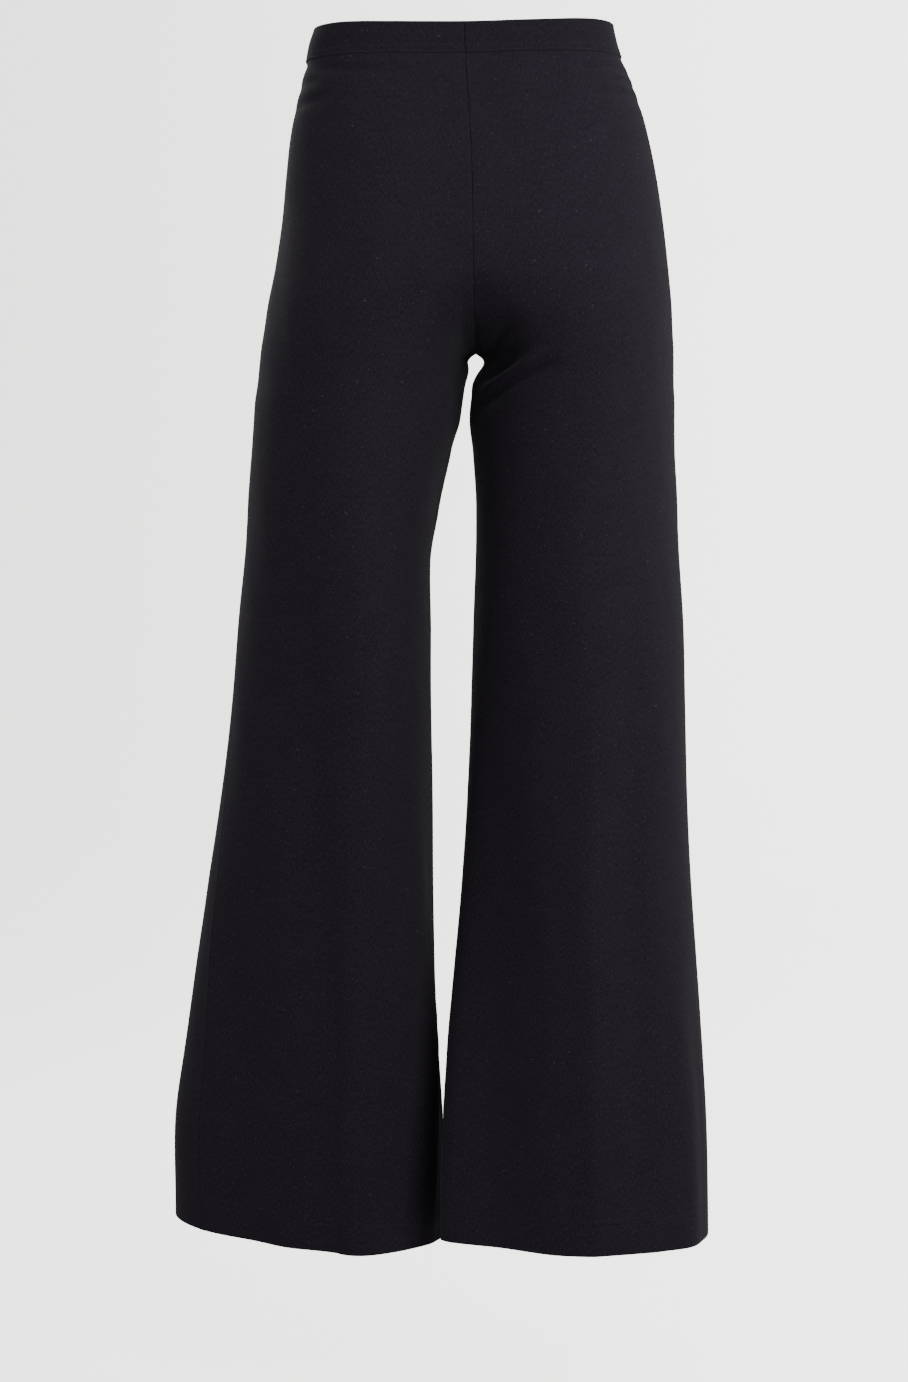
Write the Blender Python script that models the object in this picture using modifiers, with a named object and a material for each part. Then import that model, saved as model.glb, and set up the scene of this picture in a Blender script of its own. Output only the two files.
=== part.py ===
"""Palazzo pants in a firm double knit: a waistband and four leg panels.

Sizes are in millimetres and turned into metres where the meshes are made. +Z is up, the front
faces -Y, and +X is the wearer's left. The origin is the middle of the waistband's ring, at half
its height. "drop" is the distance below the origin, and "turn" is the place around a leg: 0 at
the side seam, 1 at the back's inner edge and -1 at the front's.
"""

import math

import bpy
import numpy as np

NAME = "palazzo_pants"
MM = 0.001

# Driving sizes, in millimetres.
CLOTH = 1.2
HEM_TURN_UP = 32.0
BAND_HEIGHT = 25.0
BAND_THICKNESS = 3.0
BAND_STEP = 1.3
SEAM_GAP = 0.3
CROTCH_DROP = 256.0
HEM_DROP = 1020.0
PANEL_TOP = BAND_HEIGHT / 2 + SEAM_GAP

# The inner thigh's bulge falls off around the leg as ((1 - cos a) / 2) to this power. The front
# crest leans by this share of the back's. Above the crotch the columns crowd towards the centre
# seam: CROWD_SHARE of what the cut takes away, by a power no higher than CROWD_LIMIT. The hem
# takes its tilt from the crotch down, by TILT_POWER.
BULGE_SHARPNESS = 6
FRONT_LEAN = -0.6
CROWD_SHARE = 0.75
CROWD_LIMIT = 6
TILT_POWER = 1.5

# Mesh density: rows above and below the crotch, and columns across one panel, with one more
# column close to each seam so that both walls there point the same way.
ROWS_ABOVE = 16
ROWS_BELOW = 23
ROW_POWER_ABOVE = 2.1
ROW_POWER_BELOW = 1.75
HEM_FOLD_STEP = 0.8
COLUMNS = 17
EDGE_COLUMN = 0.01
BAND_COLUMNS = 72
BAND_ROWS = 3

# The garment's outline by height. centre is the plane between the legs, *_out and *_in are each
# leg's outer and inner edge as X, back and front are the depths from the ring's middle, and
# bridge is how widely the cloth spans the hollow between the legs. Above the crotch the inner
# edge is where the leg's ring would end past the centre plane. bulge is how far the cloth of the
# inner thigh stands out towards the other leg.
OUTLINE_COLUMNS = ("drop", "centre", "left_out", "left_in", "right_in", "right_out",
                   "back", "front", "bridge", "bulge")
OUTLINE = (
    (-14, 0.0, 127.0, -127.0, 127.0, -127.0, 92.0, 92.0, 0.0, 0.0),
    (0, 0.0, 130.5, -130.5, 128.8, -128.8, 93.0, 93.0, 0.0, 0.0),
    (13, -0.5, 132.8, -123.5, 122.5, -132.8, 95.0, 96.0, 5.0, 0.0),
    (30, -1.5, 137.5, -114.5, 111.5, -140.4, 98.0, 99.0, 13.0, 0.0),
    (50, -3.0, 142.3, -104.0, 98.0, -147.4, 101.5, 101.5, 22.0, 0.0),
    (80, -5.0, 148.1, -87.0, 77.0, -156.0, 107.5, 104.0, 35.0, 0.0),
    (110, -6.2, 151.7, -68.7, 56.3, -162.8, 113.5, 106.0, 48.0, 0.0),
    (150, -6.8, 155.2, -44.3, 30.7, -169.4, 119.5, 107.0, 57.0, 0.0),
    (190, -7.4, 161.3, -23.9, 9.1, -174.1, 121.5, 108.0, 50.0, 0.0),
    (220, -8.0, 167.4, -11.6, -4.4, -176.8, 119.6, 108.5, 34.0, 0.0),
    (240, -8.9, 170.4, -5.1, -12.7, -177.6, 117.2, 108.5, 20.0, 0.0),
    (256, -9.8, 173.1, -0.6, -19.0, -178.5, 114.8, 108.5, 9.2, 0.0),
    (262, -9.4, 173.8, 1.3, -20.1, -178.6, 113.8, 108.3, 7.5, 0.0),
    (272, -7.9, 174.9, 4.3, -20.1, -178.7, 112.1, 108.1, 5.5, 3.4),
    (284, -4.3, 176.2, 9.3, -17.9, -178.8, 110.3, 107.7, 3.0, 7.8),
    (300, -1.7, 179.0, 12.9, -16.3, -179.6, 108.2, 107.0, 1.5, 9.5),
    (320, 0.3, 180.9, 15.3, -14.7, -179.7, 106.0, 106.2, 0.0, 9.1),
    (345, 2.6, 183.0, 18.4, -13.2, -179.9, 103.8, 105.0, 0.0, 6.0),
    (380, 5.6, 185.8, 22.8, -11.6, -181.6, 101.4, 103.3, 0.0, 1.7),
    (415, 8.2, 188.0, 26.6, -10.2, -182.6, 99.5, 101.5, 0.0, 0.0),
    (500, 10.0, 196.3, 28.2, -8.2, -188.0, 96.0, 98.0, 0.0, 0.0),
    (580, 11.3, 204.0, 28.2, -5.6, -190.8, 93.5, 95.0, 0.0, 0.0),
    (680, 13.0, 217.2, 26.5, -0.5, -194.5, 91.0, 92.0, 0.0, 0.0),
    (780, 15.5, 233.2, 22.5, 8.2, -200.9, 88.5, 89.5, 0.0, 0.0),
    (860, 16.2, 245.4, 17.5, 15.1, -206.3, 87.0, 88.0, 0.0, 0.0),
    (930, 16.0, 255.2, 13.5, 18.6, -210.0, 86.0, 87.0, 0.0, 0.0),
    (1020, 16.0, 256.8, 12.0, 18.8, -211.5, 85.0, 86.0, 0.0, 0.0),
)

# How each leg hangs, by height. swing moves the leg back (+) or forward (-), lean shifts the
# crest of its back inwards (-) or outwards (+), twist turns the seams around the leg in degrees,
# and the squareness is the exponent of the ring's outer and inner quarters.
HANG_COLUMNS = ("drop", "left_swing", "right_swing", "left_lean", "right_lean", "left_twist",
                "outer_square", "left_inner_square", "right_inner_square")
HANG = (
    (-14, 0.0, 0.0, 0.0, 0.0, 0.0, 3.3, 3.3, 3.3),
    (50, 0.0, 0.0, 0.0, 0.0, 0.0, 2.8, 2.8, 2.8),
    (120, 0.0, 0.0, 0.0, 0.0, 0.0, 2.35, 2.35, 2.35),
    (200, 0.0, 0.0, 0.0, 0.0, 0.0, 2.15, 2.15, 2.15),
    (256, 0.0, 0.0, 0.0, 0.0, 0.0, 2.05, 2.1, 2.1),
    (300, -1.5, 0.5, 0.0, 0.0, 0.0, 2.0, 2.1, 2.1),
    (400, -8.0, 2.5, -5.0, 3.0, 3.0, 2.0, 2.0, 2.0),
    (520, -17.0, 5.5, -14.0, 9.0, 9.0, 1.95, 1.85, 1.85),
    (700, -31.0, 11.0, -18.0, 12.0, 20.0, 1.85, 1.6, 1.6),
    (860, -43.0, 15.5, -23.0, 16.0, 28.5, 1.75, 1.5, 1.45),
    (1020, -55.0, 20.0, -26.0, 18.0, 31.0, 1.7, 1.45, 1.4),
)

# The largest folds. Each runs from turn_top to turn_end, between drop_top and drop_end, over
# fade millimetres at its ends. half_width is in turns and height in millimetres, out (+) or in.
FOLD_COLUMNS = ("leg", "turn_top", "turn_end", "drop_top", "drop_end", "fade",
                "half_width", "height")
FOLDS = (
    ("right", 0.80, 0.77, 640, 1100, 330, 0.15, -11.0),
    ("right", 0.93, 0.93, 700, 1100, 300, 0.07, 2.5),
    ("right", 0.22, 0.20, 820, 1100, 200, 0.10, 4.5),
    ("right", 0.40, 0.42, 560, 1100, 300, 0.13, -2.5),
    ("right", -0.28, -0.24, 620, 1100, 300, 0.13, 5.0),
    ("right", -0.52, -0.50, 520, 1100, 320, 0.12, -7.0),
    ("right", -0.80, -0.78, 700, 1100, 300, 0.12, -8.0),
    ("left", 0.10, 0.12, 760, 1100, 260, 0.10, -4.5),
    ("left", 0.31, 0.30, 480, 1100, 260, 0.12, -4.0),
    ("left", 0.83, 0.81, 700, 1100, 300, 0.12, -6.0),
    ("left", -0.23, -0.25, 600, 1100, 300, 0.13, -6.5),
    ("left", -0.48, -0.47, 520, 1100, 300, 0.12, 5.0),
    ("left", -0.77, -0.75, 640, 1100, 320, 0.14, -9.0),
    ("right", 0.80, 0.86, 236, 262, 20, 0.09, -4.0),
)

# The waist tips down to the wearer's left, and dips at the centre back.
WAIST_SLOPE = -0.014
WAIST_DIP = 1.6
WAIST_DIP_WIDTH = 55.0
WAIST_FADE = 190.0

# The hems are not level, because the left leg stands out and forward: each is lifted, then raised
# on its outer side and on its front side.
HEM_TILT_COLUMNS = ("lift", "rise_out", "rise_front")
HEM_TILT = {"left": (-3.3, 7.0, 11.8), "right": (0.0, 1.5, 0.0)}

CLOTH_COLOUR = (0.0137, 0.0123, 0.0160, 1.0)
CLOTH_ROUGHNESS = 0.85


def table_column(columns, rows, name, drop):
    """One column of a table at any height, by cubic curves through its rows."""
    knots = np.array([row[0] for row in rows], float)
    values = np.array([row[columns.index(name)] for row in rows], float)
    slopes = np.gradient(values, knots)
    drop = np.clip(np.asarray(drop, float), knots[0], knots[-1])
    low = np.clip(np.searchsorted(knots, drop) - 1, 0, len(knots) - 2)
    span = knots[low + 1] - knots[low]
    t = (drop - knots[low]) / span
    start = (1 + 2 * t) * (1 - t) ** 2 * values[low] + t * (1 - t) ** 2 * span * slopes[low]
    end = t ** 2 * (3 - 2 * t) * values[low + 1] + t ** 2 * (t - 1) * span * slopes[low + 1]
    return start + end


def outline(name, drop):
    """A size of the outline at a height."""
    return table_column(OUTLINE_COLUMNS, OUTLINE, name, drop)


def hang(name, drop):
    """A size of the hang at a height."""
    return table_column(HANG_COLUMNS, HANG, name, drop)


def smooth_step(t):
    """0 below 0, 1 above 1, and a soft rise between."""
    t = np.clip(t, 0, 1)
    return t * t * (3 - 2 * t)


def power(value, exponent):
    """A power that keeps the sign."""
    return np.sign(value) * np.abs(value) ** exponent


def leg_twist(leg, drop):
    """How far the seams turn around a leg, in radians."""
    return np.radians(hang("left_twist", drop)) if leg == "left" else 0.0


def ring_point(leg, turn, drop):
    """The outer surface before its folds, in millimetres.

    Each leg is a ring of four unlike quarters, (cos a)^(2/n) across and (sin a)^(2/n) along, the
    second with no exponent above 1, so that the ring stays round at its seams. Above the crotch
    it is cut at the centre plane, where x = sqrt(ring^2 - bridge^2) joins it to the other.
    """
    side = 1 if leg == "left" else -1
    turn, drop = np.broadcast_arrays(np.asarray(turn, float), np.asarray(drop, float))
    centre = outline("centre", drop)
    bridge = outline("bridge", drop)
    outer = np.hypot(outline(leg + "_out", drop) - centre, bridge)
    inner = side * (outline(leg + "_in", drop) - centre)
    middle = (outer + inner) / 2
    half = (outer - inner) / 2
    outer_square = hang("outer_square", drop)
    inner_square = hang(leg + "_inner_square", drop)

    reach = np.clip((middle - bridge) / half, 0, 1) ** (inner_square / 2)
    cut_off = np.where(drop >= CROTCH_DROP, 0.0, np.arccos(reach))
    crowding = CROWD_SHARE * math.pi / np.maximum(cut_off, 0.1)
    crowding = np.clip(crowding, 1, CROWD_LIMIT)
    spread = np.abs(turn)
    angle = np.sign(turn) * (math.pi * spread - cut_off * spread ** crowding)
    angle = angle + leg_twist(leg, drop)

    across, along = np.cos(angle), np.sin(angle)
    square = np.where(across >= 0, outer_square, inner_square)
    depth = np.where(along >= 0, outline("back", drop), outline("front", drop))
    lean = hang(leg + "_lean", drop) * np.where(along >= 0, 1.0, FRONT_LEAN)
    thigh = outline("bulge", drop) * (0.5 - 0.5 * across) ** BULGE_SHARPNESS
    ring = middle + half * power(across, 2 / square) + lean * along ** 2 - thigh
    x = np.sqrt(np.maximum(ring ** 2 - bridge ** 2, 0))
    y = depth * power(along, np.minimum(2 / square, 1)) + hang(leg + "_swing", drop)
    return np.stack([centre + side * x, y, -drop + 0 * x], axis=-1)


def fold_height(leg, turn, drop):
    """How far the folds lift the cloth, in millimetres: cosine ridges that fade at their ends."""
    total = np.zeros(np.broadcast(turn, drop).shape)
    for row in FOLDS:
        fold = dict(zip(FOLD_COLUMNS, row))
        if fold["leg"] != leg:
            continue
        t = np.clip((drop - fold["drop_top"]) / (fold["drop_end"] - fold["drop_top"]), 0, 1)
        place = fold["turn_top"] + t * (fold["turn_end"] - fold["turn_top"])
        away = np.clip(np.abs(turn - place) / fold["half_width"], 0, 1)
        rise = smooth_step((drop - fold["drop_top"]) / fold["fade"] + 0.5)
        fall = smooth_step((fold["drop_end"] - drop) / fold["fade"] + 0.5)
        total = total + fold["height"] * rise * fall * (0.5 + 0.5 * np.cos(math.pi * away))
    return total


def settle(leg, points, turn, drop):
    """The tilt of the waist and of the hem, as a change of height."""
    x = points[..., 0]
    dip = WAIST_DIP * np.exp(-(x / WAIST_DIP_WIDTH) ** 2) * (points[..., 1] > 0)
    waist = (WAIST_SLOPE * x - dip) * (1 - smooth_step(drop / WAIST_FADE))
    angle = turn * math.pi + leg_twist(leg, drop)
    share = smooth_step((drop - CROTCH_DROP) / (HEM_DROP - CROTCH_DROP)) ** TILT_POWER
    tilt = dict(zip(HEM_TILT_COLUMNS, HEM_TILT[leg]))
    hem = tilt["lift"] + tilt["rise_out"] * np.cos(angle) - tilt["rise_front"] * np.sin(angle)
    points = points.copy()
    points[..., 2] += waist + hem * share
    return points


def cloth_point(leg, turn, drop, outwards=0.0):
    """The outer surface with its folds, moved out by a distance along its normal."""
    turn, drop = np.broadcast_arrays(np.asarray(turn, float), np.asarray(drop, float))
    d_turn, d_drop = 0.004, 1.0
    across = (ring_point(leg, np.clip(turn + d_turn, -1, 1), drop)
              - ring_point(leg, np.clip(turn - d_turn, -1, 1), drop))
    along = ring_point(leg, turn, drop + d_drop) - ring_point(leg, turn, drop - d_drop)
    side = 1 if leg == "left" else -1
    normal = side * np.cross(along, across)
    normal /= np.maximum(np.linalg.norm(normal, axis=-1, keepdims=True), 1e-9)
    offset = fold_height(leg, turn, drop) + outwards
    points = ring_point(leg, turn, drop) + normal * offset[..., None]
    return settle(leg, points, turn, drop)


def row_drops():
    """Heights of a panel's rows: close together at the crotch and doubled at the hem's fold."""
    above = np.linspace(1, 0, ROWS_ABOVE + 1)[:-1] ** ROW_POWER_ABOVE
    below = np.linspace(0, 1, ROWS_BELOW + 1) ** ROW_POWER_BELOW
    fold = HEM_DROP - HEM_TURN_UP
    drops = np.concatenate([CROTCH_DROP - (CROTCH_DROP - PANEL_TOP) * above,
                            CROTCH_DROP + (HEM_DROP - CROTCH_DROP) * below])
    drops[np.argmin(np.abs(drops - fold))] = fold
    return np.sort(np.append(drops, fold + HEM_FOLD_STEP))


def grid_faces(rows, columns, flip):
    """The quads of a grid of points, row by row."""
    index = np.arange(rows * columns).reshape(rows, columns)
    quads = np.stack([index[:-1, :-1], index[1:, :-1], index[1:, 1:], index[:-1, 1:]], axis=-1)
    quads = quads.reshape(-1, 4)
    return quads[:, ::-1] if flip else quads


def cloth_material(name):
    """A plain matt black knit."""
    material = bpy.data.materials.new(name)
    material.use_nodes = True
    shader = material.node_tree.nodes["Principled BSDF"]
    shader.inputs["Base Color"].default_value = CLOTH_COLOUR
    shader.inputs["Roughness"].default_value = CLOTH_ROUGHNESS
    shader.inputs["Metallic"].default_value = 0.0
    material.diffuse_color = CLOTH_COLOUR
    return material


def shell_object(name, points, flip, thickness, weights, collection):
    """A closed wall: a grid of outer points with Solidify towards the inside."""
    rows, columns = points.shape[:2]
    mesh = bpy.data.meshes.new(name)
    vertices = (points * MM).reshape(-1, 3)
    mesh.from_pydata(vertices.tolist(), [], grid_faces(rows, columns, flip).tolist())
    mesh.shade_smooth()
    mesh.materials.append(cloth_material(name + "_cloth"))
    shell = bpy.data.objects.new(name, mesh)
    collection.objects.link(shell)

    group = shell.vertex_groups.new(name="thickness")
    for weight in np.unique(weights):
        group.add(np.flatnonzero(weights == weight).tolist(), float(weight), "REPLACE")
    wall = shell.modifiers.new("Wall", "SOLIDIFY")
    wall.thickness = thickness * MM
    wall.offset = -1.0
    wall.vertex_group = group.name
    wall.use_rim = True
    return shell


def open_seam(points):
    """Draws a grid's first and last columns back by half of the seam's gap."""
    for edge, next_one in ((0, 1), (-1, -2)):
        step = points[:, next_one] - points[:, edge]
        step /= np.linalg.norm(step, axis=-1, keepdims=True)
        points[:, edge] += step * SEAM_GAP / 2
    return points


def make_panel(leg, face, collection):
    """One leg panel, from the waistband to the hem, with the hem's turn-up as a double wall."""
    drops = row_drops()
    turns = np.linspace(0, 1, COLUMNS + 1)
    turns = np.insert(turns, [1, COLUMNS], [EDGE_COLUMN, 1 - EDGE_COLUMN])
    turns = turns if face == "back" else -turns
    turn_grid, drop_grid = np.meshgrid(turns, drops)
    points = open_seam(cloth_point(leg, turn_grid, drop_grid))
    in_hem = drop_grid > HEM_DROP - HEM_TURN_UP + 0.1
    weights = np.where(in_hem, 1.0, 0.5).ravel()
    flip = (leg == "left") != (face == "back")
    return shell_object(face + "_" + leg, points, flip, 2 * CLOTH, weights, collection)


def make_waistband(collection):
    """The doubled strip around the waist, open by the seam's gap at the centre back."""
    drops = np.linspace(-BAND_HEIGHT / 2, BAND_HEIGHT / 2, BAND_ROWS + 1)
    half = BAND_COLUMNS // 4
    back_to_side = np.linspace(1, 0, half + 1)
    side_to_front = np.linspace(0, -1, half + 1)[1:]
    left = np.concatenate([back_to_side, side_to_front])
    right = left[::-1][1:]
    grid = []
    for leg, turns in (("left", left), ("right", right)):
        turn_grid, drop_grid = np.meshgrid(turns, drops)
        grid.append(cloth_point(leg, turn_grid, drop_grid, outwards=BAND_STEP))
    points = open_seam(np.concatenate(grid, axis=1))
    weights = np.ones(points.shape[0] * points.shape[1])
    return shell_object("waistband", points, True, BAND_THICKNESS, weights, collection)


def main():
    """Clears the scene and makes the garment."""
    for old in list(bpy.data.objects):
        bpy.data.objects.remove(old)
    collection = bpy.data.collections.new(NAME)
    bpy.context.scene.collection.children.link(collection)
    make_waistband(collection)
    for leg in ("left", "right"):
        for face in ("back", "front"):
            make_panel(leg, face, collection)


main()
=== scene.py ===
"""Palazzo pants in a firm black double knit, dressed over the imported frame.

Sizes inside the shape functions are in millimetres and become metres where a mesh is made. +Z is
up, the front faces -Y, and +X is the wearer's left. "drop" is the distance below the origin, and
"turn" is the place around a leg: 0 at the side seam, 1 at the back's inner edge and -1 at the
front's. "outwards" is a distance along the cloth's normal.
"""

import functools
import math

import bpy
import mathutils
import numpy as np
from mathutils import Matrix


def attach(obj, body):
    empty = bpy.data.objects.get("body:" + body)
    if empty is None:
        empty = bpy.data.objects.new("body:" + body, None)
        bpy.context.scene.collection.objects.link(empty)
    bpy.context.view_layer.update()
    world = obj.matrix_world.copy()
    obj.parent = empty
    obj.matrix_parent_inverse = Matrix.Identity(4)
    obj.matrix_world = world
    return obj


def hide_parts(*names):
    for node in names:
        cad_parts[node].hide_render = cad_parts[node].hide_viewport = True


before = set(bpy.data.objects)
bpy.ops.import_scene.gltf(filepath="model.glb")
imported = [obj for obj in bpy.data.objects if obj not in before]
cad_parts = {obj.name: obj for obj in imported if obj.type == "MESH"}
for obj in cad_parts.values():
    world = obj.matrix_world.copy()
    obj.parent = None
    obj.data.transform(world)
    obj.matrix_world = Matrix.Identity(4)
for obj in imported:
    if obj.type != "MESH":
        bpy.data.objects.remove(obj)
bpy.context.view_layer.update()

bl_info = {
    "name": "Palazzo Pants",
    "version": (1, 0, 0),
    "blender": (4, 5, 0),
    "location": "View3D > Sidebar > Pants",
    "description": "Cuts, sews and lights a pair of wide-leg knit pants over their packed frame",
    "category": "Object",
}

MM = 0.001
LEGS = ("left", "right")
SIDES = {"left": 1, "right": -1}
FACES = {"back": 1, "front": -1}

# The cut, in millimetres. These repeat the frame's own sizes.
BAND_HEIGHT = 25.0
BAND_THICKNESS = 3.0
BAND_STEP = 1.3
CROTCH_DROP = 256.0
HEM_DROP = 1020.0

# The rings' form, as the frame has it: how sharply the inner thigh bulges, the share of its leg's
# lean that the front takes, how columns crowd together at the inner edge, and how late down the
# leg its hem starts to tilt.
BULGE_SHARPNESS = 6
FRONT_LEAN = -0.6
CROWD_SHARE = 0.75
CROWD_LIMIT = 6
TILT_POWER = 1.5

# Where the sewn band differs from the frame's solid one, in millimetres: how much closer it lies,
# how far its upper edge tapers at the sides and how much higher it stands.
BAND_EASE = 1.0
BAND_TAPER = 1.5
BAND_RISE = 1.3

# Mesh density.
UPPER_ROWS = 146
LOWER_ROWS = 140
UPPER_DROP = 335.0
PANEL_COLUMNS = 84
BAND_COLUMNS = 150
ARC_SAMPLES = 241
STITCH_ROWS = np.array([-2.2, -1.2, -0.5, 0.0, 0.5, 1.2, 2.2])

# Distances that keep the rows of one interpolation apart, and the two legs' flat cloth, in
# millimetres. Then the width of a wale of the knit.
ROW_SHIFT = 1000.0
CLOTH_SHIFT = 900.0
KNIT_PITCH = 0.8 * MM

# Sewing, in millimetres: the lines that stitches press into the hems and the band, the pull of a
# seam and the lengths of its waves, and the band's own seam, with the columns beside it.
HEM_GROOVE = 0.13
BAND_GROOVE = 0.20
PUCKER_PULL = 0.6
PUCKER_REACH = 5.0
PUCKER_WAVES = (13.0, 8.3, 29.0)
SIDE_SEAM_PHASE = {"left": 1.7, "right": 0.9}
INNER_SEAM_PHASE = 2.6
BAND_SEAM_COLUMNS = np.array([0.0, 0.35, 0.7, 1.1, 1.7, 2.6])
BAND_SEAM_DEPTH = 0.95
BAND_SEAM_REACH = 0.7
BAND_SEAM_PUCKER = 0.25
BAND_SEAM_PHASE = 0.8
BAND_RIPPLE = 0.12
BAND_RIPPLE_LENGTH = 11.0

# The waistband's section: the radius of its lower edges, and its swell's height, centre and width.
BAND_CORNER = 0.6
SWELL_HEIGHT = 0.35
SWELL_DROP = -3.5
SWELL_WIDTH = 17.0

# The allowances inside: the distance between their sections, how far they reach past the seam,
# how far they hang clear of the cloth and their slow wave, how flat they lie under a hem's
# turn-up, and where they start and end. Then the waist's own: its place, half its height, how far
# in it lies and half its depth.
ALLOWANCE_STEP = 4.0
ALLOWANCE_PAST_SEAM = 1.2
ALLOWANCE_CLEARANCE = 0.4
ALLOWANCE_WAVE = 0.3
ALLOWANCE_WAVE_LENGTH = 47.0
TUCKED_CLEARANCE = 0.15
TUCKED_HALF_DEPTH = 0.1
ALLOWANCE_TOP = 2.7
CROTCH_CLEARANCE = 0.6
ALLOWANCE_START = 3.0
WAIST_ALLOWANCE_DROP = 9.2
WAIST_ALLOWANCE_HALF_HEIGHT = 5.8
WAIST_ALLOWANCE_IN = 1.05
WAIST_ALLOWANCE_HALF_DEPTH = 0.85

# A stitch, as shares of its thread: how much thinner its ends are, how high its middle stands and
# how deep it is set. Then its share of a step, the slant of the threads inside a hem in radians,
# and how far out the rows lie.
STITCH_THINNING = 0.8
STITCH_ARCH = 0.55
STITCH_SET = 0.35
BAND_STITCH_SHARE = 0.78
HEM_STITCH_SHARE = 0.8
LOOP_SLANT = 0.6
BAND_STITCH_OUT = 1.0
BAND_LOOP_OUT = -3.62
HEM_STITCH_OUT = -0.18

# The garment's outline by height, as the frame has it: the plane between the legs, each leg's
# outer and inner edge as X, the depths of back and front, the width that bridges the legs, and
# the bulge of the inner thigh.
OUTLINE_COLUMNS = ("drop", "centre", "left_out", "left_in", "right_in", "right_out",
                   "back", "front", "bridge", "bulge")
OUTLINE = (
    (-14, 0.0, 127.0, -127.0, 127.0, -127.0, 92.0, 92.0, 0.0, 0.0),
    (0, 0.0, 130.5, -130.5, 128.8, -128.8, 93.0, 93.0, 0.0, 0.0),
    (13, -0.5, 132.8, -123.5, 122.5, -132.8, 95.0, 96.0, 5.0, 0.0),
    (30, -1.5, 137.5, -114.5, 111.5, -140.4, 98.0, 99.0, 13.0, 0.0),
    (50, -3.0, 142.3, -104.0, 98.0, -147.4, 101.5, 101.5, 22.0, 0.0),
    (80, -5.0, 148.1, -87.0, 77.0, -156.0, 107.5, 104.0, 35.0, 0.0),
    (110, -6.2, 151.7, -68.7, 56.3, -162.8, 113.5, 106.0, 48.0, 0.0),
    (150, -6.8, 155.2, -44.3, 30.7, -169.4, 119.5, 107.0, 57.0, 0.0),
    (190, -7.4, 161.3, -23.9, 9.1, -174.1, 121.5, 108.0, 50.0, 0.0),
    (220, -8.0, 167.4, -11.6, -4.4, -176.8, 119.6, 108.5, 34.0, 0.0),
    (240, -8.9, 170.4, -5.1, -12.7, -177.6, 117.2, 108.5, 20.0, 0.0),
    (256, -9.8, 173.1, -0.6, -19.0, -178.5, 114.8, 108.5, 9.2, 0.0),
    (262, -9.4, 173.8, 1.3, -20.1, -178.6, 113.8, 108.3, 7.5, 0.0),
    (272, -7.9, 174.9, 4.3, -20.1, -178.7, 112.1, 108.1, 5.5, 3.4),
    (284, -4.3, 176.2, 9.3, -17.9, -178.8, 110.3, 107.7, 3.0, 7.8),
    (300, -1.7, 179.0, 12.9, -16.3, -179.6, 108.2, 107.0, 1.5, 9.5),
    (320, 0.3, 180.9, 15.3, -14.7, -179.7, 106.0, 106.2, 0.0, 9.1),
    (345, 2.6, 183.0, 18.4, -13.2, -179.9, 103.8, 105.0, 0.0, 6.0),
    (380, 5.6, 185.8, 22.8, -11.6, -181.6, 101.4, 103.3, 0.0, 1.7),
    (415, 8.2, 188.0, 26.6, -10.2, -182.6, 99.5, 101.5, 0.0, 0.0),
    (500, 10.0, 196.3, 28.2, -8.2, -188.0, 96.0, 98.0, 0.0, 0.0),
    (580, 11.3, 204.0, 28.2, -5.6, -190.8, 93.5, 95.0, 0.0, 0.0),
    (680, 13.0, 217.2, 26.5, -0.5, -194.5, 91.0, 92.0, 0.0, 0.0),
    (780, 15.5, 233.2, 22.5, 8.2, -200.9, 88.5, 89.5, 0.0, 0.0),
    (860, 16.2, 245.4, 17.5, 15.1, -206.3, 87.0, 88.0, 0.0, 0.0),
    (930, 16.0, 255.2, 13.5, 18.6, -210.0, 86.0, 87.0, 0.0, 0.0),
    (1020, 16.0, 256.8, 12.0, 18.8, -211.5, 85.0, 86.0, 0.0, 0.0),
)

# How each leg hangs, by height: swing back or forward, the lean of its crest, the twist of its
# seams in degrees, and the squareness of its ring's outer and inner quarters.
HANG_COLUMNS = ("drop", "left_swing", "right_swing", "left_lean", "right_lean", "left_twist",
                "outer_square", "left_inner_square", "right_inner_square")
HANG = (
    (-14, 0.0, 0.0, 0.0, 0.0, 0.0, 3.3, 3.3, 3.3),
    (50, 0.0, 0.0, 0.0, 0.0, 0.0, 2.8, 2.8, 2.8),
    (120, 0.0, 0.0, 0.0, 0.0, 0.0, 2.35, 2.35, 2.35),
    (200, 0.0, 0.0, 0.0, 0.0, 0.0, 2.15, 2.15, 2.15),
    (256, 0.0, 0.0, 0.0, 0.0, 0.0, 2.05, 2.1, 2.1),
    (300, -1.5, 0.5, 0.0, 0.0, 0.0, 2.0, 2.1, 2.1),
    (400, -8.0, 2.5, -5.0, 3.0, 3.0, 2.0, 2.0, 2.0),
    (520, -17.0, 5.5, -14.0, 9.0, 9.0, 1.95, 1.85, 1.85),
    (700, -31.0, 11.0, -18.0, 12.0, 20.0, 1.85, 1.6, 1.6),
    (860, -43.0, 15.5, -23.0, 16.0, 28.5, 1.75, 1.5, 1.45),
    (1020, -55.0, 20.0, -26.0, 18.0, 31.0, 1.7, 1.45, 1.4),
)

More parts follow.
